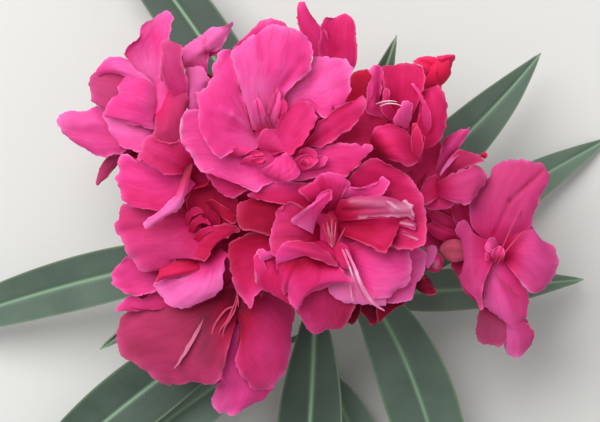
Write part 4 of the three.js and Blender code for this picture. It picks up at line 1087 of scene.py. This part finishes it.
def funnel_patch(base, axis, length, thickness):
    """The tube of a flower, widening from its foot to its throat, with five soft ribs."""
    rows, cols = 30, 40
    t = np.linspace(0, 1, rows)[:, None]
    turn = np.arange(cols)[None, :] / cols * 2 * math.pi
    foot, neck, mouth = FUNNEL_RADII
    radius = foot + (neck - foot) * ease(t / 0.3) + (mouth - neck) * t ** 2.6
    radius = radius * (1 + 0.06 * np.cos(5 * turn) * ease(t / 0.4))
    masks = np.zeros((rows, cols, 4))
    masks[..., 0] = 0.2 + 0.12 * t
    masks[..., 3] = 0.25
    return ring_patch(base, axis, length, radius, masks, 3, thickness)


def flower_base(name):
    """Foot of a flower or bud and its axis, mm."""
    if name in FLOWERS:
        flower = FLOWERS[name]
        axis = leaning(flower.lean)
        return np.array(flower.throat, float) - axis * flower.tube + HEAD, axis
    foot, tip = np.array(BUDS[name].foot, float), np.array(BUDS[name].tip, float)
    return foot + HEAD, unit(tip - foot)


def build_flower(name, look, material):
    """One flower: its petals, the petals under the large ones, darkened as painted shade, and its
    tube.
    """
    base, axis = flower_base(name)
    petals = FLOWERS[name].petals
    large = [reach_of(spec) > LARGE_PETAL for spec in petals]
    unders = [under_petal(spec) for spec, is_large in zip(petals, large) if is_large and spec.under]
    # outlines of the large petals, beside which the petals below get painted shade
    edges = [smooth_line(outline_of(spec), 110) if is_large else np.zeros((0, 2))
             for spec, is_large in zip(petals, large)]
    ruffle, thickness = look.ruffle / MM, look.thickness / MM
    seed = SEED + 1000 * list(FLOWERS).index(name)
    patches = [petal_patch(spec, thickness, ruffle, seed + k, edges[max(0, k - len(unders) + 1):])
               for k, spec in enumerate((*unders, *petals))]
    patches.append(funnel_patch(base, axis, FLOWERS[name].tube * FUNNEL_SHARE, thickness))
    piece = make_piece(name + "_petals", patches, material, "petal_masks")
    place(piece, "flower_petal", name)


# Buds

def bud_patch(name, look, furls, twist):
    """A bud: petals furled round one another, each outer edge standing a little proud."""
    bud = BUDS[name]
    base, axis = flower_base(name)
    span = np.linalg.norm(np.subtract(bud.tip, bud.foot))
    rows, cols = 44, 72
    t = np.linspace(0, 1, rows)[:, None]
    turn = np.arange(cols)[None, :] / cols
    furl = (furls * (turn + twist * t)) % 1.0  # 0 to 1 across each petal
    swell = np.sin(math.pi * t ** 0.85) ** 0.8
    masks = np.zeros((rows, cols, 4))
    masks[..., 0] = bud.tone - 0.06 + 0.16 * furl
    masks[..., 1] = bud.mauve
    # painted highlight: the pale tint near the tip
    masks[..., 2] = bud.pale * ease((t - 0.78) / 0.2)
    masks[..., 3] = bud.red
    return ring_patch(base, axis, span, bud.radius * swell * (0.86 + 0.2 * furl), masks, bud.radius,
                      look.thickness / MM * 0.5)


# Leaves

def leaf_patch(name, look, seed):
    """One long narrow blade on the course of its solid, with a channelled midrib."""
    leaf = LEAVES[name]
    rng = np.random.default_rng(seed)
    start = smooth_line(STEM_PATH, LINE_STEPS + 1)[int(leaf.share * LINE_STEPS)]
    bend, tip = np.array(leaf.bend, float), np.array(leaf.tip, float)
    course = even(bent_line(start, bend, tip, 200), 96) + HEAD
    rows, cols = len(course), 33
    t = np.linspace(0, 1, rows)
    ahead = np.gradient(course, axis=0)
    ahead /= np.linalg.norm(ahead, axis=1, keepdims=True)
    across = np.cross(ahead, UP)
    across /= np.linalg.norm(across, axis=1, keepdims=True)
    rise = np.cross(across, ahead)
    turn = math.radians(leaf.roll)
    across, rise = (across * math.cos(turn) + rise * math.sin(turn),
                    rise * math.cos(turn) - across * math.sin(turn))

    part = np.clip((t - 0.04) / 0.96, 0, 1)
    half = np.maximum(np.sin(math.pi * part ** 0.94) ** 0.9, np.maximum(0.1 * (1 - t), 0.03))
    half = half * leaf.width / 2
    side = np.linspace(-1, 1, cols)
    side = np.sign(side) * np.abs(side) ** 1.25  # rows lie closer beside the midrib
    reach = half[:, None] * side[None, :]
    length = np.linalg.norm(np.diff(course, axis=0), axis=1).sum()
    places = np.stack(np.broadcast_arrays(reach, (t * length)[:, None]), -1)
    lift = 0.16 * np.abs(reach)
    lift = lift + 0.35 * waves(places, rng, 14, 40) * np.abs(side)[None, :]
    lift = lift - 0.35 * np.exp(-(reach / 0.9) ** 2)
    vein = np.sin(2 * math.pi * (places[..., 1] - VEIN_SLANT * np.abs(reach)) * MM
                  / look.vein_spacing)
    lift = lift + 0.012 * vein * np.clip(np.abs(reach) / 2, 0, 1)
    points = (course[:, None] + across[:, None] * reach[..., None]
              + rise[:, None] * lift[..., None])

    thickness = look.thickness / MM + 0.9 * np.exp(-(reach / 1.0) ** 2) * (1 - 0.7 * t)[:, None]
    thickness = np.minimum(thickness, np.maximum(half[:, None] * 0.9, 0.25))
    masks = np.zeros((rows, cols, 4))
    masks[..., 0] = np.exp(-(reach / (0.35 + 0.55 * (1 - t))[:, None]) ** 2)
    masks[..., 1] = 0.5 * np.exp(-((half[:, None] - np.abs(reach)) / 0.35) ** 2)
    # painted light and shade: one lightness for the whole leaf
    masks[..., 2] = leaf.light
    masks[..., 3] = 1.0
    return shell(points, masks, places, thickness, face_up=True)


# Node trees

def add(tree, kind, settings=None, links=None):
    """Adds a node, sets its properties and gives each named input a value or a link."""
    node = tree.nodes.new(kind)
    for key, value in (settings or {}).items():
        setattr(node, key, value)
    for key, value in (links or {}).items():
        socket = node.inputs[key]
        if isinstance(value, bpy.types.NodeSocket):
            tree.links.new(value, socket)
        else:
            socket.default_value = value
    return node


def new_geometry_tree(name, inputs):
    """A geometry tree with a Geometry input and output and the named inputs."""
    tree = bpy.data.node_groups.new(name, "GeometryNodeTree")
    face = tree.interface
    face.new_socket("Geometry", in_out="INPUT", socket_type="NodeSocketGeometry")
    for label, kind, default in inputs:
        socket = face.new_socket(label, in_out="INPUT", socket_type=kind)
        if default is not None:
            socket.default_value = default
    face.new_socket("Geometry", in_out="OUTPUT", socket_type="NodeSocketGeometry")
    return tree, add(tree, "NodeGroupInput").outputs


def finish_tree(tree, geometry, material):
    """Ends a tree in smooth shading, realized instances and the material."""
    real = add(tree, "GeometryNodeRealizeInstances", links={"Geometry": geometry})
    smooth = add(tree, "GeometryNodeSetShadeSmooth", links={"Geometry": real.outputs[0]})
    dressed = add(tree, "GeometryNodeSetMaterial",
                  links={"Geometry": smooth.outputs[0], "Material": material})
    add(tree, "NodeGroupOutput", links={"Geometry": dressed.outputs[0]})


def limb_tree():
    """Tubes with a lightly furrowed skin along every chain of edges, as thick as the attribute
    limb_radius says."""
    tree, given = new_geometry_tree("limb_along_path", (
        ("Sides", "NodeSocketInt", 14),
        ("Step", "NodeSocketFloat", 0.0008),
        ("Relief", "NodeSocketFloat", 0.0001),
        ("Furrow", "NodeSocketFloat", 0.0015),
        ("Seed", "NodeSocketFloat", 3.0),
        ("Material", "NodeSocketMaterial", None),
    ))
    chain = add(tree, "GeometryNodeMeshToCurve", links={"Mesh": given["Geometry"]})
    dealt = add(tree, "GeometryNodeResampleCurve", {"mode": "LENGTH"},
                {"Curve": chain.outputs[0], "Length": given["Step"]})
    radius = add(tree, "GeometryNodeInputNamedAttribute", {"data_type": "FLOAT"},
                 {"Name": "limb_radius"})
    ring = add(tree, "GeometryNodeCurvePrimitiveCircle", {"mode": "RADIUS"},
               {"Resolution": given["Sides"], "Radius": 1.0})
    skin = add(tree, "GeometryNodeCurveToMesh", links={
        "Curve": dealt.outputs[0], "Profile Curve": ring.outputs[0],
        "Scale": radius.outputs[0], "Fill Caps": True})
    place_in = add(tree, "GeometryNodeInputPosition")
    pitch = add(tree, "ShaderNodeMath", {"operation": "DIVIDE"}, {0: 1.0, 1: given["Furrow"]})
    bumps = add(tree, "ShaderNodeTexNoise", {"noise_dimensions": "4D"}, {
        "Vector": place_in.outputs[0], "W": given["Seed"], "Scale": pitch.outputs[0],
        "Detail": 3.0})
    middle = add(tree, "ShaderNodeMath", {"operation": "SUBTRACT"}, {0: bumps.outputs[0], 1: 0.5})
    depth = add(tree, "ShaderNodeMath", {"operation": "MULTIPLY"},
                {0: middle.outputs[0], 1: given["Relief"]})
    outwards = add(tree, "GeometryNodeInputNormal")
    push = add(tree, "ShaderNodeVectorMath", {"operation": "SCALE"},
               {"Vector": outwards.outputs[0], "Scale": depth.outputs[0]})
    rough = add(tree, "GeometryNodeSetPosition",
                links={"Geometry": skin.outputs[0], "Offset": push.outputs[0]})
    finish_tree(tree, rough.outputs[0], given["Material"])
    return tree


def pore_tree():
    """Small raised pores strewn over a surface, as a mesh of their own."""
    tree, given = new_geometry_tree("pores_on_skin", (
        ("Spacing", "NodeSocketFloat", 0.003),
        ("Radius", "NodeSocketFloat", 0.0003),
        ("Seed", "NodeSocketInt", 5),
        ("Material", "NodeSocketMaterial", None),
    ))
    spots = add(tree, "GeometryNodeDistributePointsOnFaces", {"distribute_method": "POISSON"}, {
        "Mesh": given["Geometry"], "Distance Min": given["Spacing"],
        "Density Max": 90000.0, "Seed": given["Seed"]})
    ball = add(tree, "GeometryNodeMeshIcoSphere",
               links={"Radius": given["Radius"], "Subdivisions": 2})
    sizes = add(tree, "FunctionNodeRandomValue", {"data_type": "FLOAT_VECTOR"},
                {"Min": (0.7, 0.5, 0.3), "Max": (1.8, 0.9, 0.45), "Seed": given["Seed"]})
    pores = add(tree, "GeometryNodeInstanceOnPoints", links={
        "Points": spots.outputs["Points"], "Instance": ball.outputs["Mesh"],
        "Rotation": spots.outputs["Rotation"], "Scale": sizes.outputs[0]})
    finish_tree(tree, pores.outputs[0], given["Material"])
    return tree


def sepal_tree():
    """A sepal on every point, turned as the attribute sepal_turn says."""
    tree, given = new_geometry_tree("sepals_round_foot", (
        ("Sepal", "NodeSocketObject", None),
        ("Size", "NodeSocketFloat", 1.0),
        ("Material", "NodeSocketMaterial", None),
    ))
    shape = add(tree, "GeometryNodeObjectInfo", links={"Object": given["Sepal"]})
    turn = add(tree, "GeometryNodeInputNamedAttribute", {"data_type": "FLOAT_VECTOR"},
               {"Name": "sepal_turn"})
    spin = add(tree, "FunctionNodeEulerToRotation", links={0: turn.outputs[0]})
    whorl = add(tree, "GeometryNodeInstanceOnPoints", links={
        "Points": given["Geometry"], "Instance": shape.outputs["Geometry"],
        "Rotation": spin.outputs[0], "Scale": given["Size"]})
    finish_tree(tree, whorl.outputs[0], given["Material"])
    return tree


def grown(source, tree, values):
    """The plain mesh that a geometry tree makes from an object, as a new mesh."""
    modifier = source.modifiers.new("grow", "NODES")
    modifier.node_group = tree
    for item in tree.interface.items_tree:
        if item.item_type == "SOCKET" and item.in_out == "INPUT" and item.name in values:
            modifier[item.identifier] = values[item.name]
    bpy.context.view_layer.update()
    graph = bpy.context.evaluated_depsgraph_get()
    mesh = bpy.data.meshes.new_from_object(source.evaluated_get(graph))
    source.modifiers.remove(modifier)
    if not mesh.polygons:
        raise RuntimeError(f"{tree.name} made nothing from {source.name}")
    return mesh


def drop(piece):
    """Removes a helper object and its mesh."""
    mesh = piece.data
    bpy.data.objects.remove(piece)
    bpy.data.meshes.remove(mesh)


def path_object(name, chains):
    """Chains of points (mm) with radii (mm) as loose edges."""
    verts, edges, radii = [], [], []
    for line, widths in chains:
        first = len(verts)
        verts.extend((np.asarray(line) * MM).tolist())
        edges.extend((first + k, first + k + 1) for k in range(len(line) - 1))
        radii.extend(np.interp(np.linspace(0, 1, len(line)), np.linspace(0, 1, len(widths)),
                               widths) * MM)
    mesh = bpy.data.meshes.new(name)
    mesh.from_pydata(verts, edges, [])
    mesh.attributes.new("limb_radius", "FLOAT", "POINT").data.foreach_set("value", radii)
    return new_object(name, mesh)


def join_meshes(name, meshes):
    """One object from several meshes, their materials kept."""
    joined = bmesh.new()
    slots = []
    for mesh in meshes:
        first = len(joined.faces)
        joined.from_mesh(mesh)
        joined.faces.ensure_lookup_table()
        for face in joined.faces[first:]:
            material = mesh.materials[face.material_index]
            if material not in slots:
                slots.append(material)
            face.material_index = slots.index(material)
    whole = bpy.data.meshes.new(name)
    joined.to_mesh(whole)
    joined.free()
    for material in slots:
        whole.materials.append(material)
    for mesh in meshes:
        bpy.data.meshes.remove(mesh)
    return new_object(name, whole)


# Finishes

def new_finish(name):
    """A material with an empty tree."""
    material = bpy.data.materials.new(name)
    material.use_nodes = True
    material.node_tree.nodes.clear()
    return material, material.node_tree


def end_finish(tree, inputs):
    """Ends a material's tree in its shader, which gets the inputs, and its output."""
    shader = add(tree, "ShaderNodeBsdfPrincipled", links=inputs)
    add(tree, "ShaderNodeOutputMaterial", links={"Surface": shader.outputs[0]})


def rgba(values):
    """A colour that covers fully."""
    return (*values, 1.0)


def petal_finish(look):
    """Fresh petal: thin, soft and slightly velvety, so it has a broad weak gloss, a pale bloom at
    grazing angles and light that spreads inside it. Its colour follows the tone mask, which deepens
    towards the throat and carries painted shade and painted highlights."""
    material, tree = new_finish("fresh_double_petal")
    masks = add(tree, "ShaderNodeAttribute", {"attribute_name": "petal_masks"})
    part = add(tree, "ShaderNodeSeparateColor", links={0: masks.outputs["Color"]})
    ruler = add(tree, "ShaderNodeUVMap", {"uv_map": "ruler"})
    # fine veins run from root to tip, about twelve times as long as they are apart
    pitch = MM / look.vein_spacing
    stretch = add(tree, "ShaderNodeVectorMath", {"operation": "MULTIPLY"},
                  {0: ruler.outputs[0], 1: (pitch, pitch / 12, 0.0)})
    veins = add(tree, "ShaderNodeTexNoise", {"noise_dimensions": "2D"},
                {"Vector": stretch.outputs[0], "Scale": 1.0, "Detail": 2.0})
    spot = add(tree, "ShaderNodeTexCoord")
    blotch, crinkle = [
        add(tree, "ShaderNodeTexNoise", links={
            "Vector": spot.outputs["Object"], "Scale": 1 / (width_mm * MM), "Detail": 3.0})
        for width_mm in (6, 2.2)]
    tone = part.outputs[0]
    for mottle in (veins, blotch):
        change = add(tree, "ShaderNodeMapRange", links={
            "Value": mottle.outputs[0], "From Min": 0.3, "From Max": 0.7, "To Min": -0.03,
            "To Max": 0.03})
        changed = add(tree, "ShaderNodeMath", {"operation": "ADD"}, {0: tone, 1: change.outputs[0]})
        tone = changed.outputs[0]
    # low tones give painted shade and high tones painted light, besides the petal's own colour
    ramp = add(tree, "ShaderNodeValToRGB", links={0: tone})
    stops = ((0.0, look.deep), (0.25, look.crimson), (0.5, look.rose), (0.75, look.pink),
             (1.0, look.blush))
    ramp.color_ramp.elements[1].position = 1.0
    for place_at, _ in stops[1:-1]:
        ramp.color_ramp.elements.new(place_at)
    for element, (_, tint) in zip(ramp.color_ramp.elements, stops):
        element.color = rgba(tint)
    warm = add(tree, "ShaderNodeMath", {"operation": "MULTIPLY"},
               {0: masks.outputs["Alpha"], 1: 0.7})
    colour_now = ramp.outputs[0]
    # the mauve tint is a painted lilac cast of sky reflection and shade
    for share, tint in ((part.outputs[1], look.mauve), (warm.outputs[0], look.scarlet),
                        (part.outputs[2], look.pale)):
        tinted = add(tree, "ShaderNodeMix", {"data_type": "RGBA"},
                     {0: share, 6: colour_now, 7: rgba(tint)})
        colour_now = tinted.outputs[2]
    relief = add(tree, "ShaderNodeMath", {"operation": "MULTIPLY_ADD"},
                 {0: veins.outputs[0], 1: 0.6, 2: crinkle.outputs[0]})
    bump = add(tree, "ShaderNodeBump", links={
        "Height": relief.outputs[0], "Strength": 0.6, "Distance": 0.12 * MM})
    gloss = add(tree, "ShaderNodeMapRange", links={
        "Value": crinkle.outputs[0], "To Min": 0.5, "To Max": 0.68})
    end_finish(tree, {
        "Base Color": colour_now, "Roughness": gloss.outputs[0], "Normal": bump.outputs[0],
        "IOR": 1.4, "Specular IOR Level": 0.1, "Sheen Weight": 0.03, "Sheen Roughness": 0.45,
        "Sheen Tint": rgba(look.blush), "Subsurface Weight": 0.12,
        "Subsurface Radius": (1.0, 0.35, 0.45), "Subsurface Scale": 1.2 * MM})
    return material


def leaf_finish(look):
    """Leathery evergreen blade: a waxy cuticle with a low even sheen, a pale midrib, close
    parallel side veins and a thin light margin."""
    material, tree = new_finish("leathery_waxy_leaf")
    masks = add(tree, "ShaderNodeAttribute", {"attribute_name": "blade_masks"})
    part = add(tree, "ShaderNodeSeparateColor", links={0: masks.outputs["Color"]})
    ruler = add(tree, "ShaderNodeUVMap", {"uv_map": "ruler"})
    axes = add(tree, "ShaderNodeSeparateXYZ", links={0: ruler.outputs[0]})
    from_rib = add(tree, "ShaderNodeMath", {"operation": "ABSOLUTE"}, {0: axes.outputs[0]})
    slant = add(tree, "ShaderNodeMath", {"operation": "MULTIPLY_ADD"},
                {0: from_rib.outputs[0], 1: -VEIN_SLANT, 2: axes.outputs[1]})
    pace = add(tree, "ShaderNodeMath", {"operation": "MULTIPLY"},
               {0: slant.outputs[0], 1: 2 * math.pi * MM / look.vein_spacing})
    swing = add(tree, "ShaderNodeMath", {"operation": "SINE"}, {0: pace.outputs[0]})
    vein = add(tree, "ShaderNodeMapRange", links={
        "Value": swing.outputs[0], "From Min": 0.35, "From Max": 1.0, "To Max": 0.028})
    spot = add(tree, "ShaderNodeTexCoord")
    patchy, grain = [
        add(tree, "ShaderNodeTexNoise", links={
            "Vector": spot.outputs["Object"], "Scale": 1 / (width_mm * MM), "Detail": detail})
        for width_mm, detail in ((18, 4.0), (0.8, 2.0))]
    # the leaf's lightness, painted light and shade, plus random patches
    light = add(tree, "ShaderNodeMath", {"operation": "MULTIPLY_ADD"},
                {0: patchy.outputs[0], 1: 0.9, 2: part.outputs[2]})
    depth = add(tree, "ShaderNodeMapRange", links={
        "Value": light.outputs[0], "From Min": 0.5, "From Max": 1.4})
    colour_now = rgba(look.dark)
    for share, tint in ((depth.outputs[0], look.blade), (vein.outputs[0], look.midrib),
                        (part.outputs[1], look.margin), (part.outputs[0], look.midrib)):
        tinted = add(tree, "ShaderNodeMix", {"data_type": "RGBA"},
                     {0: share, 6: colour_now, 7: rgba(tint)})
        colour_now = tinted.outputs[2]
    relief = add(tree, "ShaderNodeMath", {"operation": "MULTIPLY_ADD"},
                 {0: swing.outputs[0], 1: -0.35, 2: grain.outputs[0]})
    bump = add(tree, "ShaderNodeBump", links={
        "Height": relief.outputs[0], "Strength": 0.4, "Distance": 0.06 * MM})
    gloss = add(tree, "ShaderNodeMapRange", links={
        "Value": patchy.outputs[0], "To Min": 0.5, "To Max": 0.66})
    end_finish(tree, {"Base Color": colour_now, "Roughness": gloss.outputs[0],
                      "Normal": bump.outputs[0], "IOR": 1.45})
    return material


def skin_finish(name, main, second, grain_mm, roughness, relief_mm):
    """Living skin of stem, stalk or thread: matt, with a second tint in soft patches and fine
    grain."""
    material, tree = new_finish(name)
    spot = add(tree, "ShaderNodeTexCoord")
    patchy, grain = [
        add(tree, "ShaderNodeTexNoise", links={
            "Vector": spot.outputs["Object"], "Scale": 1 / (width_mm * MM), "Detail": detail})
        for width_mm, detail in ((grain_mm * 7, 4.0), (grain_mm, 3.0))]
    patch = add(tree, "ShaderNodeMapRange", links={
        "Value": patchy.outputs[0], "From Min": 0.38, "From Max": 0.62})
    speck = add(tree, "ShaderNodeMapRange", links={
        "Value": grain.outputs[0], "From Min": 0.3, "From Max": 0.7, "To Max": 0.35})
    colour_now = rgba(main)
    for share, tint in ((patch, second), (speck, tuple(0.45 * c for c in second))):
        tinted = add(tree, "ShaderNodeMix", {"data_type": "RGBA"},
                     {0: share.outputs[0], 6: colour_now, 7: rgba(tint)})
        colour_now = tinted.outputs[2]
    bump = add(tree, "ShaderNodeBump", links={
        "Height": grain.outputs[0], "Strength": 0.8, "Distance": relief_mm * MM})
    gloss = add(tree, "ShaderNodeMapRange", links={
        "Value": grain.outputs[0], "To Min": roughness - 0.08, "To Max": roughness + 0.08})
    end_finish(tree, {"Base Color": colour_now, "Roughness": gloss.outputs[0],
                      "Normal": bump.outputs[0], "IOR": 1.45})
    return material


# Operators

def finish_called(name, maker):
    """The material of that name, made at its first use."""
    return bpy.data.materials.get(name) or maker()


def limb_line(name, count=60):
    """The course of a limb or stalk, mm in the frame."""
    if name in LIMBS:
        return smooth_line(LIMBS[name], count) + HEAD
    limb, share = STALK_ROOTS[name]
    parent = limb_line(limb)
    start = parent[int(round(share * (len(parent) - 1)))]
    end, axis = flower_base(name)
    span = np.linalg.norm(end - start)
    return bent_line(start, end - axis * span * STALK_BEND, end + axis * STALK_IN, count)


class SHOOT_OT_flowers(bpy.types.Operator):
    """Build every double flower petal by petal"""
    bl_idname = "shoot.flowers"
    bl_label = "Build Flowers"

    def execute(self, context):
        look = context.scene.shoot_petals
        material = finish_called("fresh_double_petal", lambda: petal_finish(look))
        for name in FLOWERS:
            build_flower(name, look, material)
        return {"FINISHED"}


class SHOOT_OT_buds(bpy.types.Operator):
    """Build the furled buds"""
    bl_idname = "shoot.buds"
    bl_label = "Build Buds"

    def execute(self, context):
        look = context.scene.shoot_petals
        material = finish_called("fresh_double_petal", lambda: petal_finish(look))
        for name in BUDS:
            patches = [bud_patch(name, look, 3, 0.9)]
            if name == "bud_twisted":
                patches += [petal_patch(spec, look.thickness / MM, look.ruffle / MM, SEED + 7 * n)
                            for n, spec in enumerate(TWISTED_PETALS)]
            piece = make_piece(name + "_petals", patches, material, "petal_masks")
            place(piece, "bud_petal", name)
        return {"FINISHED"}


class SHOOT_OT_leaves(bpy.types.Operator):
    """Build the long leathery leaves"""
    bl_idname = "shoot.leaves"
    bl_label = "Build Leaves"

    def execute(self, context):
        look = context.scene.shoot_leaves
        material = finish_called("leathery_waxy_leaf", lambda: leaf_finish(look))
        for k, name in enumerate(LEAVES):
            piece = make_piece(name + "_blade", [leaf_patch(name, look, SEED + 300 + k)], material,
                               "blade_masks")
            place(piece, "leaf_blade", name)
        return {"FINISHED"}


class SHOOT_OT_stem(bpy.types.Operator):
    """Build the stem with its bark relief and pores"""
    bl_idname = "shoot.stem"
    bl_label = "Build Stem"

    def execute(self, context):
        look = context.scene.shoot_stem
        bark = skin_finish("young_green_bark", look.bark, look.bark_old, grain_mm=1.4,
                           roughness=0.6, relief_mm=0.15)
        pore = skin_finish("bark_pores", look.bark_old, look.bark, grain_mm=0.6, roughness=0.75,
                           relief_mm=0.08)
        count = 120
        line = smooth_line(STEM_PATH, count) + HEAD
        way_up = np.linspace(0, 1, count)
        widths = np.linspace(*STEM_RADII, count)
        swelling, spread = LEAF_JOINT
        for leaf in LEAVES.values():
            widths = widths + swelling * np.exp(-((way_up - leaf.share) / spread) ** 2)
        path = path_object("stem_path", [(line, widths)])
        skin = grown(path, limb_tree(), {
            "Sides": 40, "Step": 0.0006, "Relief": look.relief * 2, "Furrow": 0.0022,
            "Material": bark})
        drop(path)
        carrier = new_object("stem_skin", skin)
        pores = grown(carrier, pore_tree(), {"Radius": look.pore, "Material": pore})
        bpy.data.objects.remove(carrier)
        piece = join_meshes("stem_bark_skin", [skin, pores])
        place(piece, "stem_bark", "stem")
        return {"FINISHED"}


class SHOOT_OT_stalks(bpy.types.Operator):
    """Build the boughs of the flower head, the flower stalks and the sepals"""
    bl_idname = "shoot.stalks"
    bl_label = "Build Stalks"

    def execute(self, context):
        look = context.scene.shoot_stem
        skin = skin_finish("soft_flower_stalk", look.stalk, look.stalk_green, grain_mm=0.9,
                           roughness=0.62, relief_mm=0.06)
        chains = [(limb_line(name), LIMB_RADII[name]) for name in LIMBS]
        chains += [(limb_line(name), STALK_RADII) for name in STALK_ROOTS]
        path = path_object("stalk_paths", chains)
        limbs = grown(path, limb_tree(), {
            "Sides": 16, "Step": 0.0008, "Relief": 0.00012, "Furrow": 0.0015, "Material": skin})
        drop(path)
        piece = join_meshes("flower_stalks", [limbs, self.sepals(skin)])
        place(piece, "flower_stalk", *LIMBS, *("stalk_" + name for name in STALK_ROOTS))
        return {"FINISHED"}

    def sepals(self, skin):
        """Narrow sepals round the foot of each flower and bud."""
        rows, cols = 10, 7
        t = np.linspace(0, 1, rows)[:, None]
        side = np.linspace(-1, 1, cols)[None, :]
        half = 0.75 * np.sqrt(np.clip(1 - t ** 1.6, 0.002, 1))
        points = np.stack(np.broadcast_arrays(
            side * half, 1.35 + 0.9 * t ** 1.5 - 0.25 * side ** 2, 5.2 * t), -1)
        sheet = shell(points, np.zeros((rows, cols, 4)), points[..., :2], 0.3)
        shape = make_piece("sepal", [sheet], skin, "blade_masks")
        verts, turns = [], []
        for name in STALK_ROOTS:
            foot, axis = flower_base(name)
            to_axis = Vector(UP).rotation_difference(Vector(axis)).to_matrix()
            for k in range(SEPALS):
                turn = Matrix.Rotation(math.radians(360 / SEPALS * k + SEPAL_TURN), 3, "Z")
                verts.append(((foot + axis * 0.2) * MM).tolist())
                turns.extend((to_axis @ turn).to_euler())
        mesh = bpy.data.meshes.new("sepal_feet")
        mesh.from_pydata(verts, [], [])
        mesh.attributes.new("sepal_turn", "FLOAT_VECTOR", "POINT")
        mesh.attributes["sepal_turn"].data.foreach_set("vector", turns)
        feet = new_object("sepal_feet", mesh)
        made = grown(feet, sepal_tree(), {"Sepal": shape, "Size": 1.0, "Material": skin})
        drop(feet)
        drop(shape)
        return made


class SHOOT_OT_threads(bpy.types.Operator):
    """Build the stamens and throat threads"""
    bl_idname = "shoot.threads"
    bl_label = "Build Threads"

    def execute(self, context):
        look = context.scene.shoot_stem
        tree = limb_tree()
        grown_meshes = []
        for name, threads in THREADS.items():
            tint = getattr(look, name)
            skin = skin_finish(name + "_thread", tint, tint, grain_mm=0.7, roughness=0.55,
                               relief_mm=0.03)
            chains = [(smooth_line([lay(*point) for point in points], 30),
                       [radius * share for share in THREAD_TAPER]) for points, radius in threads]
            path = path_object("thread_paths", chains)
            grown_meshes.append(grown(path, tree, {
                "Sides": 10, "Step": 0.0005, "Relief": 0.00008, "Furrow": 0.0008,
                "Material": skin}))
            drop(path)
        piece = join_meshes("throat_threads", grown_meshes)
        place(piece, "flower_petal")
        return {"FINISHED"}


class SHOOT_OT_stage(bpy.types.Operator):
    """Set the floor, the soft light and the camera"""
    bl_idname = "shoot.stage"
    bl_label = "Build Stage"

    def execute(self, context):
        look = context.scene.shoot_stage
        scene = context.scene
        half = look.floor_width / 2
        mesh = bpy.data.meshes.new("floor")
        mesh.from_pydata([(-half, -half, 0), (half, -half, 0), (half, half, 0), (-half, half, 0)],
                         [], [(0, 1, 2, 3)])
        paint, tree = new_finish("matt_studio_floor")
        end_finish(tree, {"Base Color": rgba(look.floor_colour), "Roughness": 0.9})
        mesh.materials.append(paint)
        new_object("floor", mesh)

        world = bpy.data.worlds.new("studio")
        scene.world = world
        world.use_nodes = True
        world.node_tree.nodes.clear()
        sky = add(world.node_tree, "ShaderNodeBackground",
                  links={"Color": rgba((1.0, 1.0, 1.0)), "Strength": look.fill_power})
        add(world.node_tree, "ShaderNodeOutputWorld", links={"Surface": sky.outputs[0]})

        light = bpy.data.lights.new("overhead_softbox", "AREA")
        light.shape = "DISK"
        light.size = look.key_width
        light.energy = look.key_power
        lamp = new_object("overhead_softbox", light)
        lamp.location = LAMP_PLACE
        head = Vector(HEAD * MM)
        aim = head + Vector((0, 0, LAMP_AIM)) - lamp.location
        lamp.rotation_euler = aim.to_track_quat("-Z", "Y").to_euler()

        lens = bpy.data.cameras.new("camera")
        lens.sensor_width = SENSOR_WIDTH
        lens.lens = SENSOR_WIDTH * CAMERA_RISE / (SHEET_WIDTH / SHEET_SCALE)
        lens.clip_end = 50.0
        camera = new_object("camera", lens)
        camera.location = head + Vector(UP * (CAMERA_RISE + SHEET_LEVEL) * MM)
        scene.camera = camera
        scene.view_settings.view_transform = "Standard"
        return {"FINISHED"}


class SHOOT_PT_panel(bpy.types.Panel):
    """The builders of the shoot and their settings"""
    bl_idname = "SHOOT_PT_panel"
    bl_label = "Flowering Shoot"
    bl_space_type = "VIEW_3D"
    bl_region_type = "UI"
    bl_category = "Shoot"

    def draw(self, context):
        for settings, operators in PANEL_ROWS:
            box = self.layout.box()
            group = getattr(context.scene, settings)
            for key in group.__annotations__:
                box.prop(group, key)
            for operator in operators:
                box.operator(operator.bl_idname)


PANEL_ROWS = (
    ("shoot_petals", (SHOOT_OT_flowers, SHOOT_OT_buds)),
    ("shoot_leaves", (SHOOT_OT_leaves,)),
    ("shoot_stem", (SHOOT_OT_stem, SHOOT_OT_stalks, SHOOT_OT_threads)),
    ("shoot_stage", (SHOOT_OT_stage,)),
)
SETTINGS = {"shoot_petals": PetalSettings, "shoot_leaves": LeafSettings,
            "shoot_stem": StemSettings, "shoot_stage": StageSettings}
OPERATORS = tuple(operator for _, row in PANEL_ROWS for operator in row)
CLASSES = (*SETTINGS.values(), *OPERATORS, SHOOT_PT_panel)


def register():
    for cls in CLASSES:
        bpy.utils.register_class(cls)
    for name, group in SETTINGS.items():
        setattr(bpy.types.Scene, name, bpy.props.PointerProperty(type=group))


def unregister():
    for name in SETTINGS:
        delattr(bpy.types.Scene, name)
    for cls in reversed(CLASSES):
        bpy.utils.unregister_class(cls)


def main():
    """Builds the whole shoot and its stage."""
    register()
    for operator in OPERATORS:
        group, verb = operator.bl_idname.split(".")
        getattr(getattr(bpy.ops, group), verb)()
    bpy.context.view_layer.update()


if __name__ == "__main__":
    main()
